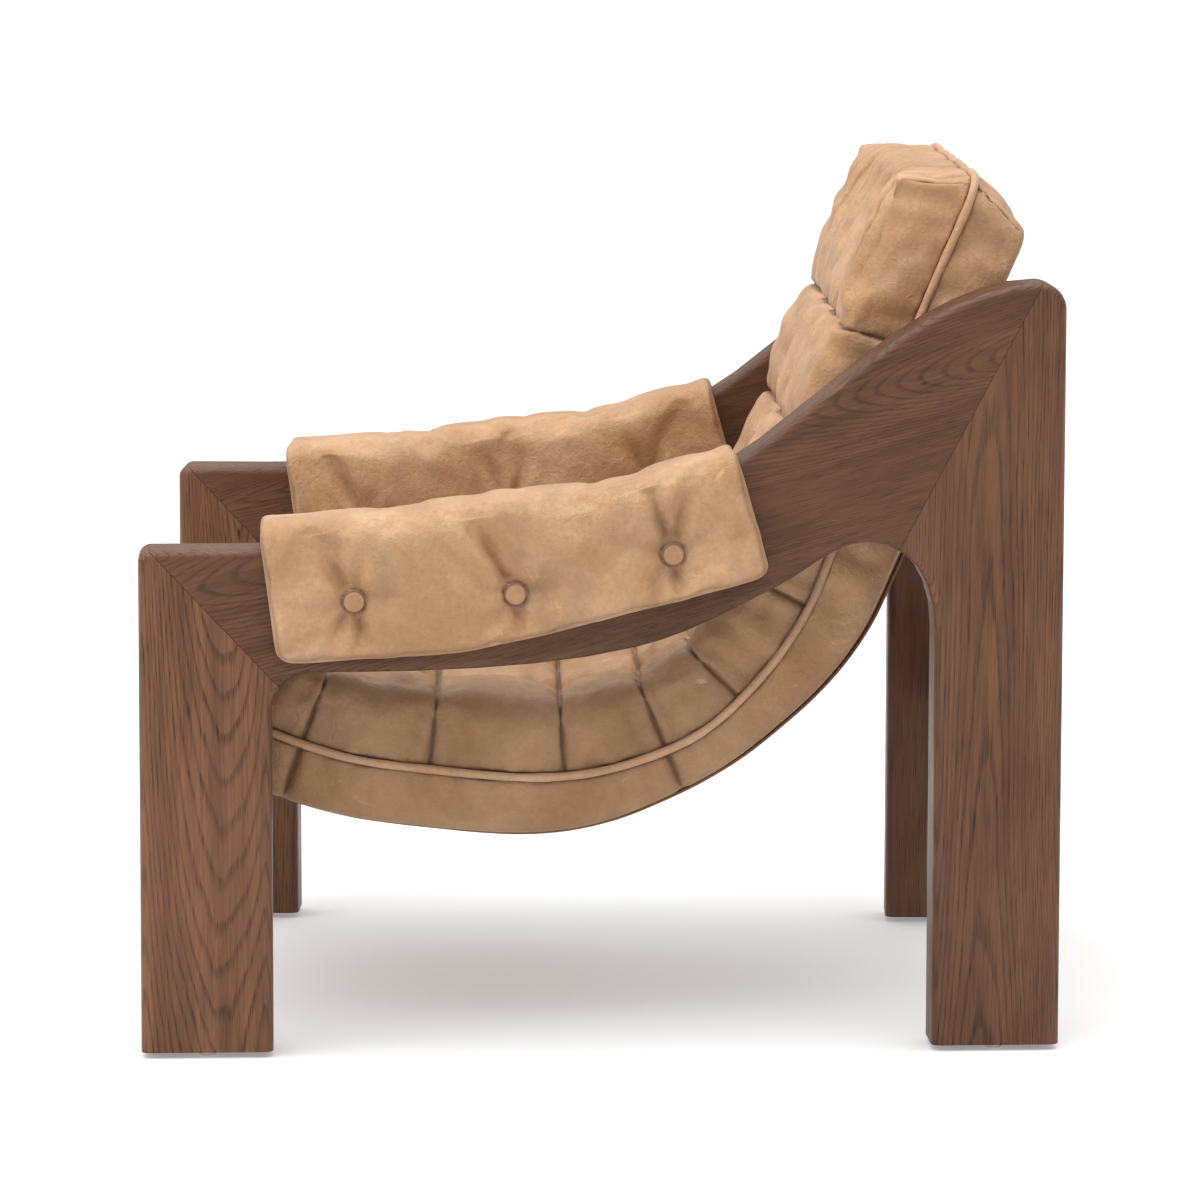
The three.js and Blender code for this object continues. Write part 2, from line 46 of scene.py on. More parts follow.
# ---------------------------------------------------------------- dimensions, as the CAD has them
TOE = math.radians(2.2)
BOARD = 0.063
BOARD_MIDDLE = 0.3389
SEAM_LINE = [
    (-0.423, 0.362), (-0.327, 0.315), (-0.250, 0.289), (-0.161, 0.276), (-0.060, 0.268),
    (0.009, 0.276), (0.099, 0.311), (0.164, 0.372), (0.206, 0.434), (0.233, 0.500),
    (0.321, 0.740), (0.366, 0.846), (0.374, 0.872),
]
FIT_GAP = 0.0004
SIDE_GAP = 0.0076  # between the cushion's side and a board, before it is blown up
SEAT_TOP, HEAD_TOP = 0.076, 0.067  # thickness above the seam line
SEAT_BASE, HEAD_BASE = 0.060, 0.067  # thickness below it
BEND_LOSS, BEND_AT, BEND_REACH = 0.017, 0.545, 0.120  # the lower half is thinner at the bend
WELT_RADIUS = 0.0042
PIPING_PROUD = 0.0026
RAIL_RADIUS = 0.022
FRONT_RAIL_AT, TOP_RAIL_AT = 0.044, 0.985
SLING_HALF_WIDTH = 0.256
LAYER, LAYER_GAP = 0.003, 0.001
CUSHION_REST = 0.0015  # room between the cushion and the sling


# ---------------------------------------------------------------- the seam line
def catmull_rom(points, steps):
    """Centripetal Catmull-Rom line through (n, k) points, `steps` places to a stretch."""
    p = np.array(points, float)
    p = np.vstack([2 * p[0] - p[1], p, 2 * p[-1] - p[-2]])
    gaps = np.sqrt(np.linalg.norm(np.diff(p, axis=0), axis=1))
    t = np.linspace(0, 1, steps, endpoint=False)[:, None]
    out = []
    for i in range(1, len(p) - 2):
        a, b, c = gaps[i - 1], gaps[i], gaps[i + 1]
        start = b * ((p[i] - p[i - 1]) / a - (p[i + 1] - p[i - 1]) / (a + b) + (p[i + 1] - p[i]) / b)
        end = b * ((p[i + 1] - p[i]) / b - (p[i + 2] - p[i]) / (b + c) + (p[i + 2] - p[i + 1]) / c)
        cubic = (2 * p[i] - 2 * p[i + 1] + start + end) * t**3
        square = (-3 * p[i] + 3 * p[i + 1] - 2 * start - end) * t**2
        out.append(cubic + square + start * t + p[i])
    return np.vstack([*out, p[-2:-1]])


def arc_lengths(line):
    return np.concatenate([[0], np.cumsum(np.linalg.norm(np.diff(line, axis=0), axis=1))])


SEAM = catmull_rom(SEAM_LINE, 60)
SEAM_AT = arc_lengths(SEAM)
SEAM_LENGTH = SEAM_AT[-1]
SEAM_SLOPE = np.gradient(SEAM, SEAM_AT, axis=0)
SEAM_SLOPE /= np.linalg.norm(SEAM_SLOPE, axis=1)[:, None]


def smoothstep(x, low, high):
    t = np.clip((x - low) / (high - low), 0, 1)
    return t * t * (3 - 2 * t)


def mix(a, b, t):
    return a + (b - a) * t


def seam_frame(s):
    """Points (Y, Z) of the seam line at distances s, and the direction towards the sitter there."""
    s = np.asarray(s, float)
    inside = np.clip(s, 0, SEAM_LENGTH)
    point = np.stack([np.interp(inside, SEAM_AT, SEAM[:, k]) for k in (0, 1)], -1)
    slope = np.stack([np.interp(inside, SEAM_AT, SEAM_SLOPE[:, k]) for k in (0, 1)], -1)
    point = point + slope * (s - inside)[..., None]
    return point, np.stack([-slope[..., 1], slope[..., 0]], -1)


def top_thickness(s):
    return mix(SEAT_TOP, HEAD_TOP, smoothstep(s, 0.8, SEAM_LENGTH))


def base_thickness(s):
    plain = mix(SEAT_BASE, HEAD_BASE, smoothstep(s, 0.6, 0.9))
    return plain - BEND_LOSS * np.exp(-(((s - BEND_AT) / BEND_REACH) ** 2))


def inner_half_width(y):
    """Half the clear width between the two side frames at a distance y along the chair."""
    return BOARD_MIDDLE - BOARD / 2 / math.cos(TOE) - y * math.tan(TOE)


# ---------------------------------------------------------------- mesh helpers
def shade_smooth(mesh):
    mesh.polygons.foreach_set("use_smooth", [True] * len(mesh.polygons))


def new_object(name, verts, faces):
    mesh = bpy.data.meshes.new(name)
    mesh.from_pydata([tuple(v) for v in verts], [], [tuple(int(i) for i in f) for f in faces])
    mesh.update()
    shade_smooth(mesh)
    obj = bpy.data.objects.new(name, mesh)
    bpy.context.scene.collection.objects.link(obj)
    return obj


def vectors(mesh, kind="co"):
    """The mesh's vertex places, or its vertex normals, as (n, 3)."""
    values = np.zeros(len(mesh.vertices) * 3)
    mesh.vertices.foreach_get(kind, values)
    return values.reshape(-1, 3)


def set_coordinates(obj, co):
    obj.data.vertices.foreach_set("co", np.ascontiguousarray(co).ravel())
    obj.data.update()


def store(obj, name, values):
    """Keeps one number for each vertex, for later steps here and for the materials."""
    layer = obj.data.attributes.get(name) or obj.data.attributes.new(name, "FLOAT", "POINT")
    layer.data.foreach_set("value", np.asarray(values, float))


def read(obj, name):
    values = np.zeros(len(obj.data.vertices))
    obj.data.attributes[name].data.foreach_get("value", values)
    return values


def subdivide(obj):
    """Subdivides the mesh once, for good."""
    modifier = obj.modifiers.new("subdivision", "SUBSURF")
    modifier.levels = modifier.render_levels = 1
    modifier.boundary_smooth = "PRESERVE_CORNERS"
    depsgraph = bpy.context.evaluated_depsgraph_get()
    mesh = bpy.data.meshes.new_from_object(obj.evaluated_get(depsgraph), depsgraph=depsgraph)
    old = obj.data
    obj.modifiers.clear()
    obj.data = mesh
    bpy.data.meshes.remove(old)
    shade_smooth(mesh)


LEATHER_CLOTH = {
    "quality": 4, "mass": 0.25, "air_damping": 2.0, "use_pressure": True,
    "vertex_group_mass": "held", "pin_stiffness": 20,
    "tension_stiffness": 25, "compression_stiffness": 25, "shear_stiffness": 12,
    "tension_damping": 12, "compression_damping": 12, "shear_damping": 12, "bending_damping": 1.0,
}


def inflate(obj, pinned, pressure, growth, frames, most, stiffness=2.0):
    """Blows a leather cover up by cloth simulation. `pinned` says which vertices are held, `growth`
    how much bigger the leather is cut than its place, `stiffness` how it resists bending and `most`
    how far each point may move."""
    before = vectors(obj.data)
    group = obj.vertex_groups.new(name="held")
    group.add([int(i) for i in np.nonzero(pinned)[0]], 1.0, "REPLACE")
    modifier = obj.modifiers.new("cloth", "CLOTH")
    settings = modifier.settings
    for key, value in LEATHER_CLOTH.items():
        setattr(settings, key, value)
    settings.bending_stiffness = stiffness
    settings.uniform_pressure_force = pressure
    settings.shrink_min = -growth
    settings.effector_weights.gravity = 0
    modifier.collision_settings.use_collision = False
    modifier.collision_settings.use_self_collision = False
    modifier.point_cache.frame_start = 1
    modifier.point_cache.frame_end = frames
    scene = bpy.context.scene
    for number in range(1, frames + 1):
        scene.frame_set(number)
    depsgraph = bpy.context.evaluated_depsgraph_get()
    move = vectors(obj.evaluated_get(depsgraph).data) - before
    obj.modifiers.clear()
    obj.vertex_groups.clear()
    far = np.linalg.norm(move, axis=1)
    average, longest = far.mean() * 1000, far.max() * 1000
    print(f"{obj.name}: moved {average:.1f} mm on average, {longest:.1f} mm at most")
    move *= (most * np.tanh(far / most) / np.maximum(far, 1e-9))[:, None]
    set_coordinates(obj, before + move)
    scene.frame_set(1)


# ---------------------------------------------------------------- the cushion
ROW_SEAMS = [0.137, 0.268, 0.404, 0.509, 0.600, 0.715, 0.862, 0.995]
COLUMN_SEAMS = [-0.5, 0.0, 0.5]  # as shares of the half width
BASE_SEAMS = [0.137, 0.509]
HALF_WIDTH = 0.300  # only sets how wide a grid cell is
CELL_ALONG, CELL_ACROSS = 0.0105, 0.0054
CREASE = 0.0018  # the first grid line beside a seam
DART_EASE = 0.0008  # makes the corner seams' grooves shallower than the others
HEAD_PIPING_IN = 0.004  # how much the piping is drawn in at the head's end
TOP_ROUND, BASE_ROUND = 0.019, 0.009  # rounding between the faces and the sides
EAR = 0.011  # how much the corners at the head stand up
PIPING_CORNER, EAR_CORNER, BASE_CORNER = 0.026, 0.005, 0.018  # radii of the corners in plan
SEAM_SINK, CROSSING_SINK, HEAD_SINK = 0.006, 0.017, 0.015  # how deep the quilting lies
BOARD_CLEARANCE = 0.0018  # the finished cushion stays this far from the boards
NO_SEAM = 1.0  # a distance that stands for no seam near by
TOP_EASE, BASE_EASE = 0.43, 0.55  # how much the ends of each half draw in, for each metre of height
SIDE_LEVELS = [
    1, 0.88, 0.76, 0.64, 0.52, 0.40, 0.29, 0.19, 0.11, 0.05, 0,
    -0.05, -0.11, -0.20, -0.33, -0.48, -0.63, -0.77, -0.89, -1,
]


def spaced(marks, cell, crease):
    """Grid places from the first mark to the last: `crease` beside each, then about a cell apart."""
    places = []
    for a, b in zip(marks[:-1], marks[1:]):
        count = max(2, round((b - a - 2 * crease) / cell))
        places += [a, *np.linspace(a + crease, b - crease, count + 1)]
    return np.array([*places, marks[-1]])


def nearest(values, marks):
    return np.min(np.abs(np.asarray(values)[..., None] - np.asarray(marks)), axis=-1)


def box_grid(across, along, rings):
    """Vertex numbers and faces of a closed box of quads: a top grid, `rings` of sides and a base grid.
    Returns the faces, the (i, j) of each vertex on its grid or side, and its ring (0 top, -1 base)."""
    na, nb = len(along) - 1, len(across) - 1
    top = np.arange((na + 1) * (nb + 1)).reshape(na + 1, nb + 1)
    loop_ij = (
        [(i, nb) for i in range(na)]
        + [(na, j) for j in range(nb, 0, -1)]
        + [(i, 0) for i in range(na, 0, -1)]
        + [(0, j) for j in range(nb)]
    )
    count = len(loop_ij)
    ij = [(i, j) for i in range(na + 1) for j in range(nb + 1)]
    ring = [0] * len(ij)
    loops = [np.array([top[i, j] for i, j in loop_ij])]
    for k in range(1, rings):
        start = len(ij)
        ij += loop_ij
        ring += [k] * count
        loops.append(np.arange(start, start + count))
    start = len(ij)
    base = np.arange(start, start + (na + 1) * (nb + 1)).reshape(na + 1, nb + 1)
    ij += [(i, j) for i in range(na + 1) for j in range(nb + 1)]
    ring += [rings] * base.size
    loops.append(np.array([base[i, j] for i, j in loop_ij]))
    faces = []
    for grid, flip in ((top, False), (base, True)):
        quads = np.stack([grid[:-1, :-1], grid[:-1, 1:], grid[1:, 1:], grid[1:, :-1]], -1)
        quads = quads.reshape(-1, 4)
        faces.append(quads[:, ::-1] if flip else quads)
    for upper, lower in zip(loops[:-1], loops[1:]):
        faces.append(np.stack([upper, lower, np.roll(lower, -1), np.roll(upper, -1)], -1))
    return np.vstack(faces), np.array(ij), np.array(ring)


def corner_pull(to_side, to_end, radius):
    """How far the points near a corner move inwards from the side and from the end to round it."""
    a, b = np.maximum(radius - to_side, 0), np.maximum(radius - to_end, 0)
    stays = np.maximum(a, b) / np.maximum(np.hypot(a, b), 1e-9)
    both = (a > 0) & (b > 0)
    return np.where(both, a * (1 - stays), 0), np.where(both, b * (1 - stays), 0)


def edge_drop(distance, radius):
    """How far a face has dropped at a distance from its edge, where it is rounded over."""
    d = np.clip(distance, 0, radius)
    return radius - np.sqrt(np.maximum(radius**2 - (radius - d) ** 2, 0))


def cushion_shape():
    """The cover before it is blown up. Returns the object, which vertices are held, how far each
    may move, and the loop of vertices under the piping."""
    along = spaced([0, *ROW_SEAMS, SEAM_LENGTH], CELL_ALONG, CREASE)
    seams_across = [m * HALF_WIDTH for m in (-1, *COLUMN_SEAMS, 1)]
    across = spaced(seams_across, CELL_ACROSS, CREASE) / HALF_WIDTH
    rings = len(SIDE_LEVELS) - 1
    faces, ij, ring = box_grid(across, along, rings)
    s0, v0 = along[ij[:, 0]], across[ij[:, 1]]
    level = np.array(SIDE_LEVELS, float)[ring]  # + above the piping and - below it
    on_top, on_base = ring == 0, ring == rings
    on_side = ~(on_top | on_base)
    upper = level >= 0

    half_width = inner_half_width(seam_frame(s0)[0][:, 0]) - SIDE_GAP
    to_side = (1 - np.abs(v0)) * half_width
    to_end = np.minimum(s0, SEAM_LENGTH - s0)
    long_side, end_side = to_side < 1e-9, to_end < 1e-9
    corner = np.exp(-((np.hypot(to_side, to_end) / 0.045) ** 2))
    reach_head = smoothstep(s0, SEAM_LENGTH - 0.26, SEAM_LENGTH)
    reach_front = 1 - smoothstep(s0, 0, 0.16)

    # each face drops away towards its edges, less at the corners, which stand up as ears
    thick_top = top_thickness(s0) + EAR * reach_head * corner
    thick_base = base_thickness(s0)
    round_top = TOP_ROUND * (1 - 0.75 * corner) * (1 - 0.25 * reach_head)
    round_base = BASE_ROUND * (1 - 0.4 * corner)
    fall_top = np.maximum(edge_drop(to_side, round_top), edge_drop(to_end, round_top))
    fall_base = np.maximum(edge_drop(to_side, round_base), edge_drop(to_end, round_base))
    h = np.where(on_top, thick_top - fall_top, fall_base - thick_base)
    h = np.where(on_side & upper, level * (thick_top - round_top), h)
    h = np.where(on_side & ~upper, level * (thick_base - round_base), h)

    # the quilting: seams lie deep, deepest where they cross, and rise towards the edges
    row, column = nearest(s0, ROW_SEAMS), nearest(v0, COLUMN_SEAMS) * half_width
    on_row, on_column = row < 1e-6, column < 1e-6
    crossing = np.exp(-((np.hypot(row, column) / 0.030) ** 2))
    on_head = smoothstep(s0, 0.70, 0.95)
    row_sink = SEAM_SINK * np.exp(-row / 0.013)
    column_sink = mix(SEAM_SINK, HEAD_SINK, on_head) * np.exp(-column / mix(0.013, 0.024, on_head))
    sink = np.maximum(row_sink, column_sink)
    sink += mix(CROSSING_SINK, 0.6 * CROSSING_SINK, on_head) * crossing
    sink *= mix(0.45, 1, smoothstep(to_side, 0, 0.06))
    sink *= mix(mix(0.4, 0.75, on_head), 1, smoothstep(to_end, 0, 0.06))
    h -= np.where(on_top, sink, 0)

    # the sides draw in a little at their own seams
    profile = 0.35 + 0.65 * np.sin(math.pi * np.clip(np.abs(level), 0, 1)) ** 0.7
    base_row = nearest(s0, BASE_SEAMS)
    side_draw = 0.0035 * np.exp(-np.where(upper, row, base_row) / 0.006) * profile
    end_draw = mix(0.0035, 0.0090, on_head) * np.exp(-column / 0.014) * profile * upper
    radius_above = mix(PIPING_CORNER, EAR_CORNER, level)
    radius_below = mix(PIPING_CORNER, BASE_CORNER, -level)
    radius = np.where(upper, radius_above, radius_below)
    side_in, end_in = corner_pull(to_side, to_end, radius)
    side_in += np.where(on_side & long_side & ~end_side, side_draw, 0)
    end_in += np.where(on_side & end_side & ~long_side, end_draw, 0)
    end_in += HEAD_PIPING_IN * reach_head * on_side * end_side * (1 - np.abs(level))
    x = np.sign(v0) * (np.abs(v0) * half_width - side_in)

    # the ends lean in above and below the piping, and their faces stay straight across
    lean = np.where(h > 0, TOP_EASE * h, BASE_EASE * -h)
    s = s0 - lean * reach_head + 0.8 * lean * reach_front
    s += np.where(s0 < SEAM_LENGTH / 2, end_in, -end_in)
    point, up = seam_frame(s)
    obj = new_object("cushion", np.column_stack([x, point + up * h[:, None]]), faces)

    piped = on_side & (level == 0)
    below = (on_side & ~upper & long_side) | (on_base & (to_side < 2 * BASE_ROUND))
    on_base_row = below & (base_row < 1e-6)
    top_row = (on_top | (on_side & upper & long_side)) & on_row
    top_column = (on_top | (on_side & upper & end_side)) & on_column
    dart = on_side & long_side & end_side
    ear_tip = on_top & (np.hypot(to_side, to_end) < CREASE * 1.5)
    held = piped | on_base_row | top_row | top_column | dart | ear_tip | on_base
    most_at_side = mix(0.0055, 0.016, smoothstep(level, 0.5, 1))
    most = np.where(on_side, most_at_side, mix(0.016, 0.019, on_head))
    free = np.where(on_side & end_side, column, np.where(on_side, row, np.minimum(row, column)))
    most *= mix(0.10, 1, smoothstep(free, 0, 0.020))
    most *= np.where(upper, mix(0.15, 1, smoothstep(np.hypot(to_side, to_end), 0, 0.035)), 1)

    # how far each vertex is from its nearest seam, for the creases and the painted shade along the seams
    seam_distance = np.minimum.reduce([
        np.where(on_top | (on_side & upper & long_side), row, NO_SEAM),
        np.where(on_top | (on_side & upper & end_side), column, NO_SEAM),
        np.where(below, base_row, NO_SEAM),
        np.where(on_side & long_side, to_end + DART_EASE, NO_SEAM),
        np.where(on_side & end_side, to_side + DART_EASE, NO_SEAM),
        np.where(on_side, np.maximum(np.abs(h) - 0.8 * WELT_RADIUS, 0), NO_SEAM),
    ])
    store(obj, "seam_distance", seam_distance)
    store(obj, "along", s0)
    store(obj, "across", x)
    store(obj, "quilted", on_top | (on_side & upper & end_side))
    store(obj, "upper", on_top | (on_side & upper))
    store(obj, "painted_seat_shade", 1 - smoothstep(s0, 0.55, 0.80))  # painted shade: the seat is darker than the back, for the shade under the arms
    crease_edges(obj, [top_row, top_column, on_base_row, long_side & end_side, piped])
    return obj, held, most, np.nonzero(piped)[0]


def crease_edges(obj, lines):
    """Keeps the edges whose two ends are on one of the lines sharp when the mesh is subdivided."""
    ends = np.zeros(2 * len(obj.data.edges), int)
    obj.data.edges.foreach_get("vertices", ends)
    ends = ends.reshape(-1, 2)
    sharp = np.zeros(len(ends))
    for line in lines:
        sharp[line[ends[:, 0]] & line[ends[:, 1]]] = 1
    layer = obj.data.attributes.new("crease_edge", "FLOAT", "EDGE")
    layer.data.foreach_set("value", sharp)


def wave(t, *tones):
    """A smooth uneven curve of t: a sum of sines, each (wavelength, phase, height)."""
    return sum(height * np.sin(2 * math.pi * t / length + phase) for length, phase, height in tones)


def finish_cushion(obj):
    """Sews the creases in and gathers the leather at the head, once the mesh is fine enough."""
    subdivide(obj)
    co, n = vectors(obj.data), vectors(obj.data, "normal")
    d, s, x = read(obj, "seam_distance"), read(obj, "along"), read(obj, "across")
    quilted, upper = read(obj, "quilted"), read(obj, "upper")
    groove = 0.0038 * np.exp(-((d / 0.0017) ** 2))
    # no two panels are stuffed alike, and the leather gathers beside its seams
    uneven = 0.0016 * upper * (1 - np.exp(-d / 0.02))
    uneven *= wave(s - 0.5 * x, (0.117, 0.3, 1), (0.071, 1.9, 0.7))
    uneven *= wave(s + 0.8 * x, (0.093, 1.2, 1), (0.057, 0.4, 0.5))
    gather = 0.0010 * upper * smoothstep(d, 0, 0.006) * np.exp(-d / 0.018)
    gather *= wave(s + 0.6 * x, (0.031, 0.3, 1), (0.0233, 2.1, 0.7))
    # long narrow pleats run over the head to the piping
    over_head = smoothstep(s, SEAM_LENGTH - 0.19, SEAM_LENGTH - 0.03) * quilted
    phase = x / 0.0175 + 0.5 * np.sin(19 * s + 31 * x) + 0.3 * np.sin(43 * x)
    valley = (1 - np.abs(np.sin(math.pi * phase))) ** 4
    valley *= over_head * (0.55 + 0.45 * np.sin(57 * x + 11 * s))
    co += n * (uneven + gather - groove - 0.0036 * valley)[:, None]
    limit = inner_half_width(co[:, 1]) - BOARD_CLEARANCE
    co[:, 0] = np.clip(co[:, 0], -limit, limit)
    set_coordinates(obj, co)
    # painted shade: the seam grooves and the pleat valleys at the head are darkened through this
    store(obj, "crease", np.maximum(np.exp(-((d / 0.0010) ** 2)), 0.60 * valley))


# ---------------------------------------------------------------- piping
def tube_loop(name, path, radius, sides=14):
    """A closed cord of round section along a closed path of points."""
    count = len(path)
    tangent = np.roll(path, -1, 0) - np.roll(path, 1, 0)
    tangent /= np.linalg.norm(tangent, axis=1)[:, None]
    across = np.zeros_like(path)
    hand = np.array([0.0, 0.3, 1.0])
    for i in range(count + 1):
        way = tangent[i % count]
        hand = hand - (hand @ way) * way
        hand /= np.linalg.norm(hand)
        if i < count:
            across[i] = hand
    other = np.cross(tangent, across)
    # the twist that is left after once round is spread over the whole cord
    twist = math.atan2(hand @ other[0], hand @ across[0])
    angle = np.linspace(0, 2 * math.pi, sides, endpoint=False)[None]
    angle = angle - twist * np.arange(count)[:, None] / count
    ring = np.cos(angle)[..., None] * across[:, None] + np.sin(angle)[..., None] * other[:, None]
    verts = (path[:, None] + ring * radius[:, None, None]).reshape(-1, 3)
    index = np.arange(count * sides).reshape(count, sides)
    after = np.roll(index, -1, 0)
    faces = np.stack([index, after, np.roll(after, -1, 1), np.roll(index, -1, 1)], -1).reshape(-1, 4)
    return new_object(name, verts, faces)


def resample(path, step):
    """A closed path (n, k) with its points `step` apart; the first three columns are the place."""
    line = np.vstack([path, path[:1]])
    at = arc_lengths(line[:, :3])
    where = np.linspace(0, at[-1], round(at[-1] / step), endpoint=False)
    return np.column_stack([np.interp(where, at, column) for column in line.T])


def relax(path, rounds):
    """Smooths a closed path of points."""
    for _ in range(rounds):
        path = 0.25 * np.roll(path, 1, 0) + 0.5 * path + 0.25 * np.roll(path, -1, 0)
    return path


def add_piping(cushion, loop):
    """The leather-covered cord sewn between the cushion's halves."""
    place = np.column_stack([vectors(cushion.data)[loop], read(cushion, "along")[loop]])
    path = relax(resample(place, 0.004), 6)
    path, s = path[:, :3], path[:, 3]
    tangent = np.roll(path, -1, 0) - np.roll(path, 1, 0)
    up = seam_frame(s)[1]
    out = np.cross(tangent, np.column_stack([np.zeros(len(s)), up]))
    out /= np.linalg.norm(out, axis=1)[:, None]
    if (out[:, 0] * path[:, 0]).sum() < 0:
        out = -out
    count = np.arange(len(path))
    proud = PIPING_PROUD * (1 - smoothstep(s, SEAM_LENGTH - 0.03, SEAM_LENGTH))
    path = path + out * (proud + 0.0003 * np.sin(0.29 * count))[:, None]
    swelling = 0.05 * np.sin(0.55 * count) * np.sin(0.083 * count) + 0.03 * np.sin(0.21 * count)
    piping = tube_loop("cushion_piping", path, WELT_RADIUS * (1 + swelling))
    store(piping, "crease", np.zeros(len(piping.data.vertices)))
    return piping


# ---------------------------------------------------------------- arm pads
# the pad's outline in a side frame's own place (Y, Z), along its top and along its lower edge
PAD_TOP = [
    (-0.3385, 0.528), (-0.327, 0.5355), (-0.298, 0.540), (-0.239, 0.544), (-0.199, 0.547),
    (-0.160, 0.552), (-0.120, 0.558), (-0.081, 0.5625), (-0.041, 0.566), (-0.012, 0.571),
    (0.038, 0.583), (0.0675, 0.590), (0.097, 0.5975), (0.131, 0.603),
]
PAD_BOTTOM = [
    (-0.3215, 0.400), (-0.306, 0.397), (-0.2375, 0.401), (-0.140, 0.407), (-0.100, 0.415),
    (-0.061, 0.423), (-0.002, 0.438), (0.096, 0.4625), (0.148, 0.477), (0.1645, 0.484),
]
PAD_THICKNESS = 0.023  # on the board's faces
PAD_OVER_ARM = 0.0265  # thickness over the arm's top
PAD_ROUND, WOOD_ROUND = 0.024, 0.0098  # rounding over the arm, outside and at the wood
WOOD_GAP = 0.0009  # between the pad's inside and the board
PAD_LENGTH, PAD_GIRTH = 0.50, 0.190  # round lengths that turn shares into distances
PAD_CORNER, PAD_EDGE, PAD_SLACK = 0.013, 0.010, 0.0050
PAD_GRID = (112, 88)  # points along the arm and over it
PAD_DEPTHS = [0, 0.62, 0.86, 1]
ON_FACE = 0.3  # beyond this share of the way over the arm a point is on a face of the pad
BUTTONS = [(-0.2455, 0.4585), (-0.087, 0.465), (0.068, 0.5034)]
INNER_BUTTON_DROP = 0.010
INNER_BUTTONS = [(y, z - INNER_BUTTON_DROP) for y, z in BUTTONS]
BUTTON_RADIUS = 0.011
BUTTON_GRIP = 0.0095  # the cover is held within this distance of a button's middle
BUTTON_SUNK = 0.0088  # from the pad's nominal face to the button's back
DIMPLE_DEPTH, DIMPLE_REACH = 0.0075, 0.027
BUTTON_PROFILE = [  # (share of the radius, height), from the middle of the front to that of the back
    (0.0, 0.0044), (0.35, 0.0044), (0.66, 0.0043), (0.84, 0.0041), (0.93, 0.0037), (0.98, 0.0030),
    (1.0, 0.0021), (0.98, 0.0009), (0.90, 0.0), (0.0, 0.0),
]
# folds that run out from each button: (angle in degrees, length, depth, width)
FOLDS = [
    [(121, 0.080, 0.0105, 0.0130), (88, 0.064, 0.0072, 0.0090), (-72, 0.060, 0.0105, 0.0080),
     (-112, 0.058, 0.0088, 0.0095), (-150, 0.050, 0.0045, 0.0140), (12, 0.070, 0.0046, 0.0150)],
    [(116, 0.104, 0.0112, 0.0105), (80, 0.050, 0.0040, 0.0110), (-86, 0.054, 0.0080, 0.0080),
     (-120, 0.044, 0.0040, 0.0110), (12, 0.070, 0.0052, 0.0160), (178, 0.050, 0.0022, 0.0140)],
    [(106, 0.100, 0.0115, 0.0105), (76, 0.088, 0.0108, 0.0110), (-76, 0.060, 0.0100, 0.0080),
     (-112, 0.040, 0.0036, 0.0100), (174, 0.090, 0.0056, 0.0150), (20, 0.045, 0.0024, 0.0130)],
]


def side_matrix(side):
    """From a side frame's own place to the chair's."""
    return Matrix.Translation((side * BOARD_MIDDLE, 0, 0)) @ Matrix.Rotation(side * TOE, 4, "Z")


def placed(points, matrix):
    m = np.array(matrix)
    return points @ m[:3, :3].T + m[:3, 3]


def along_line(line, share):
    """The places at shares of the way along a smooth line through the points."""
    fine = catmull_rom(line, 12)
    at = arc_lengths(fine) / arc_lengths(fine)[-1]
    return np.column_stack([np.interp(share, at, fine[:, k]) for k in (0, 1)])


def pad_place(share, q, depth):
    """A point of the saddled pad: `share` of the way back along the arm, q from -1 at the lower edge
    of one face over the arm to 1 at the other, and depth from 0 at its outside to 1 at the wood."""
    top, bottom = along_line(PAD_TOP, share), along_line(PAD_BOTTOM, share)
    down = bottom - top
    height = np.linalg.norm(down, axis=1)
    down /= height[:, None]
    half = BOARD / 2 + mix(PAD_THICKNESS, WOOD_GAP, depth)
    sink = mix(0, PAD_OVER_ARM, depth)
    radius = mix(PAD_ROUND, WOOD_ROUND, depth)
    flat = half - radius
    turn = radius * math.pi / 2
    face = height - sink - radius
    c = np.abs(q) * (flat + turn + face)
    angle = np.clip((c - flat) / radius, 0, math.pi / 2)
    x = np.where(c < flat, c, flat + radius * np.sin(angle))
    fallen = sink + radius * (1 - np.cos(angle)) + np.maximum(c - flat - turn, 0)
    return np.column_stack([np.sign(q) * x, top + down * fallen[:, None]])


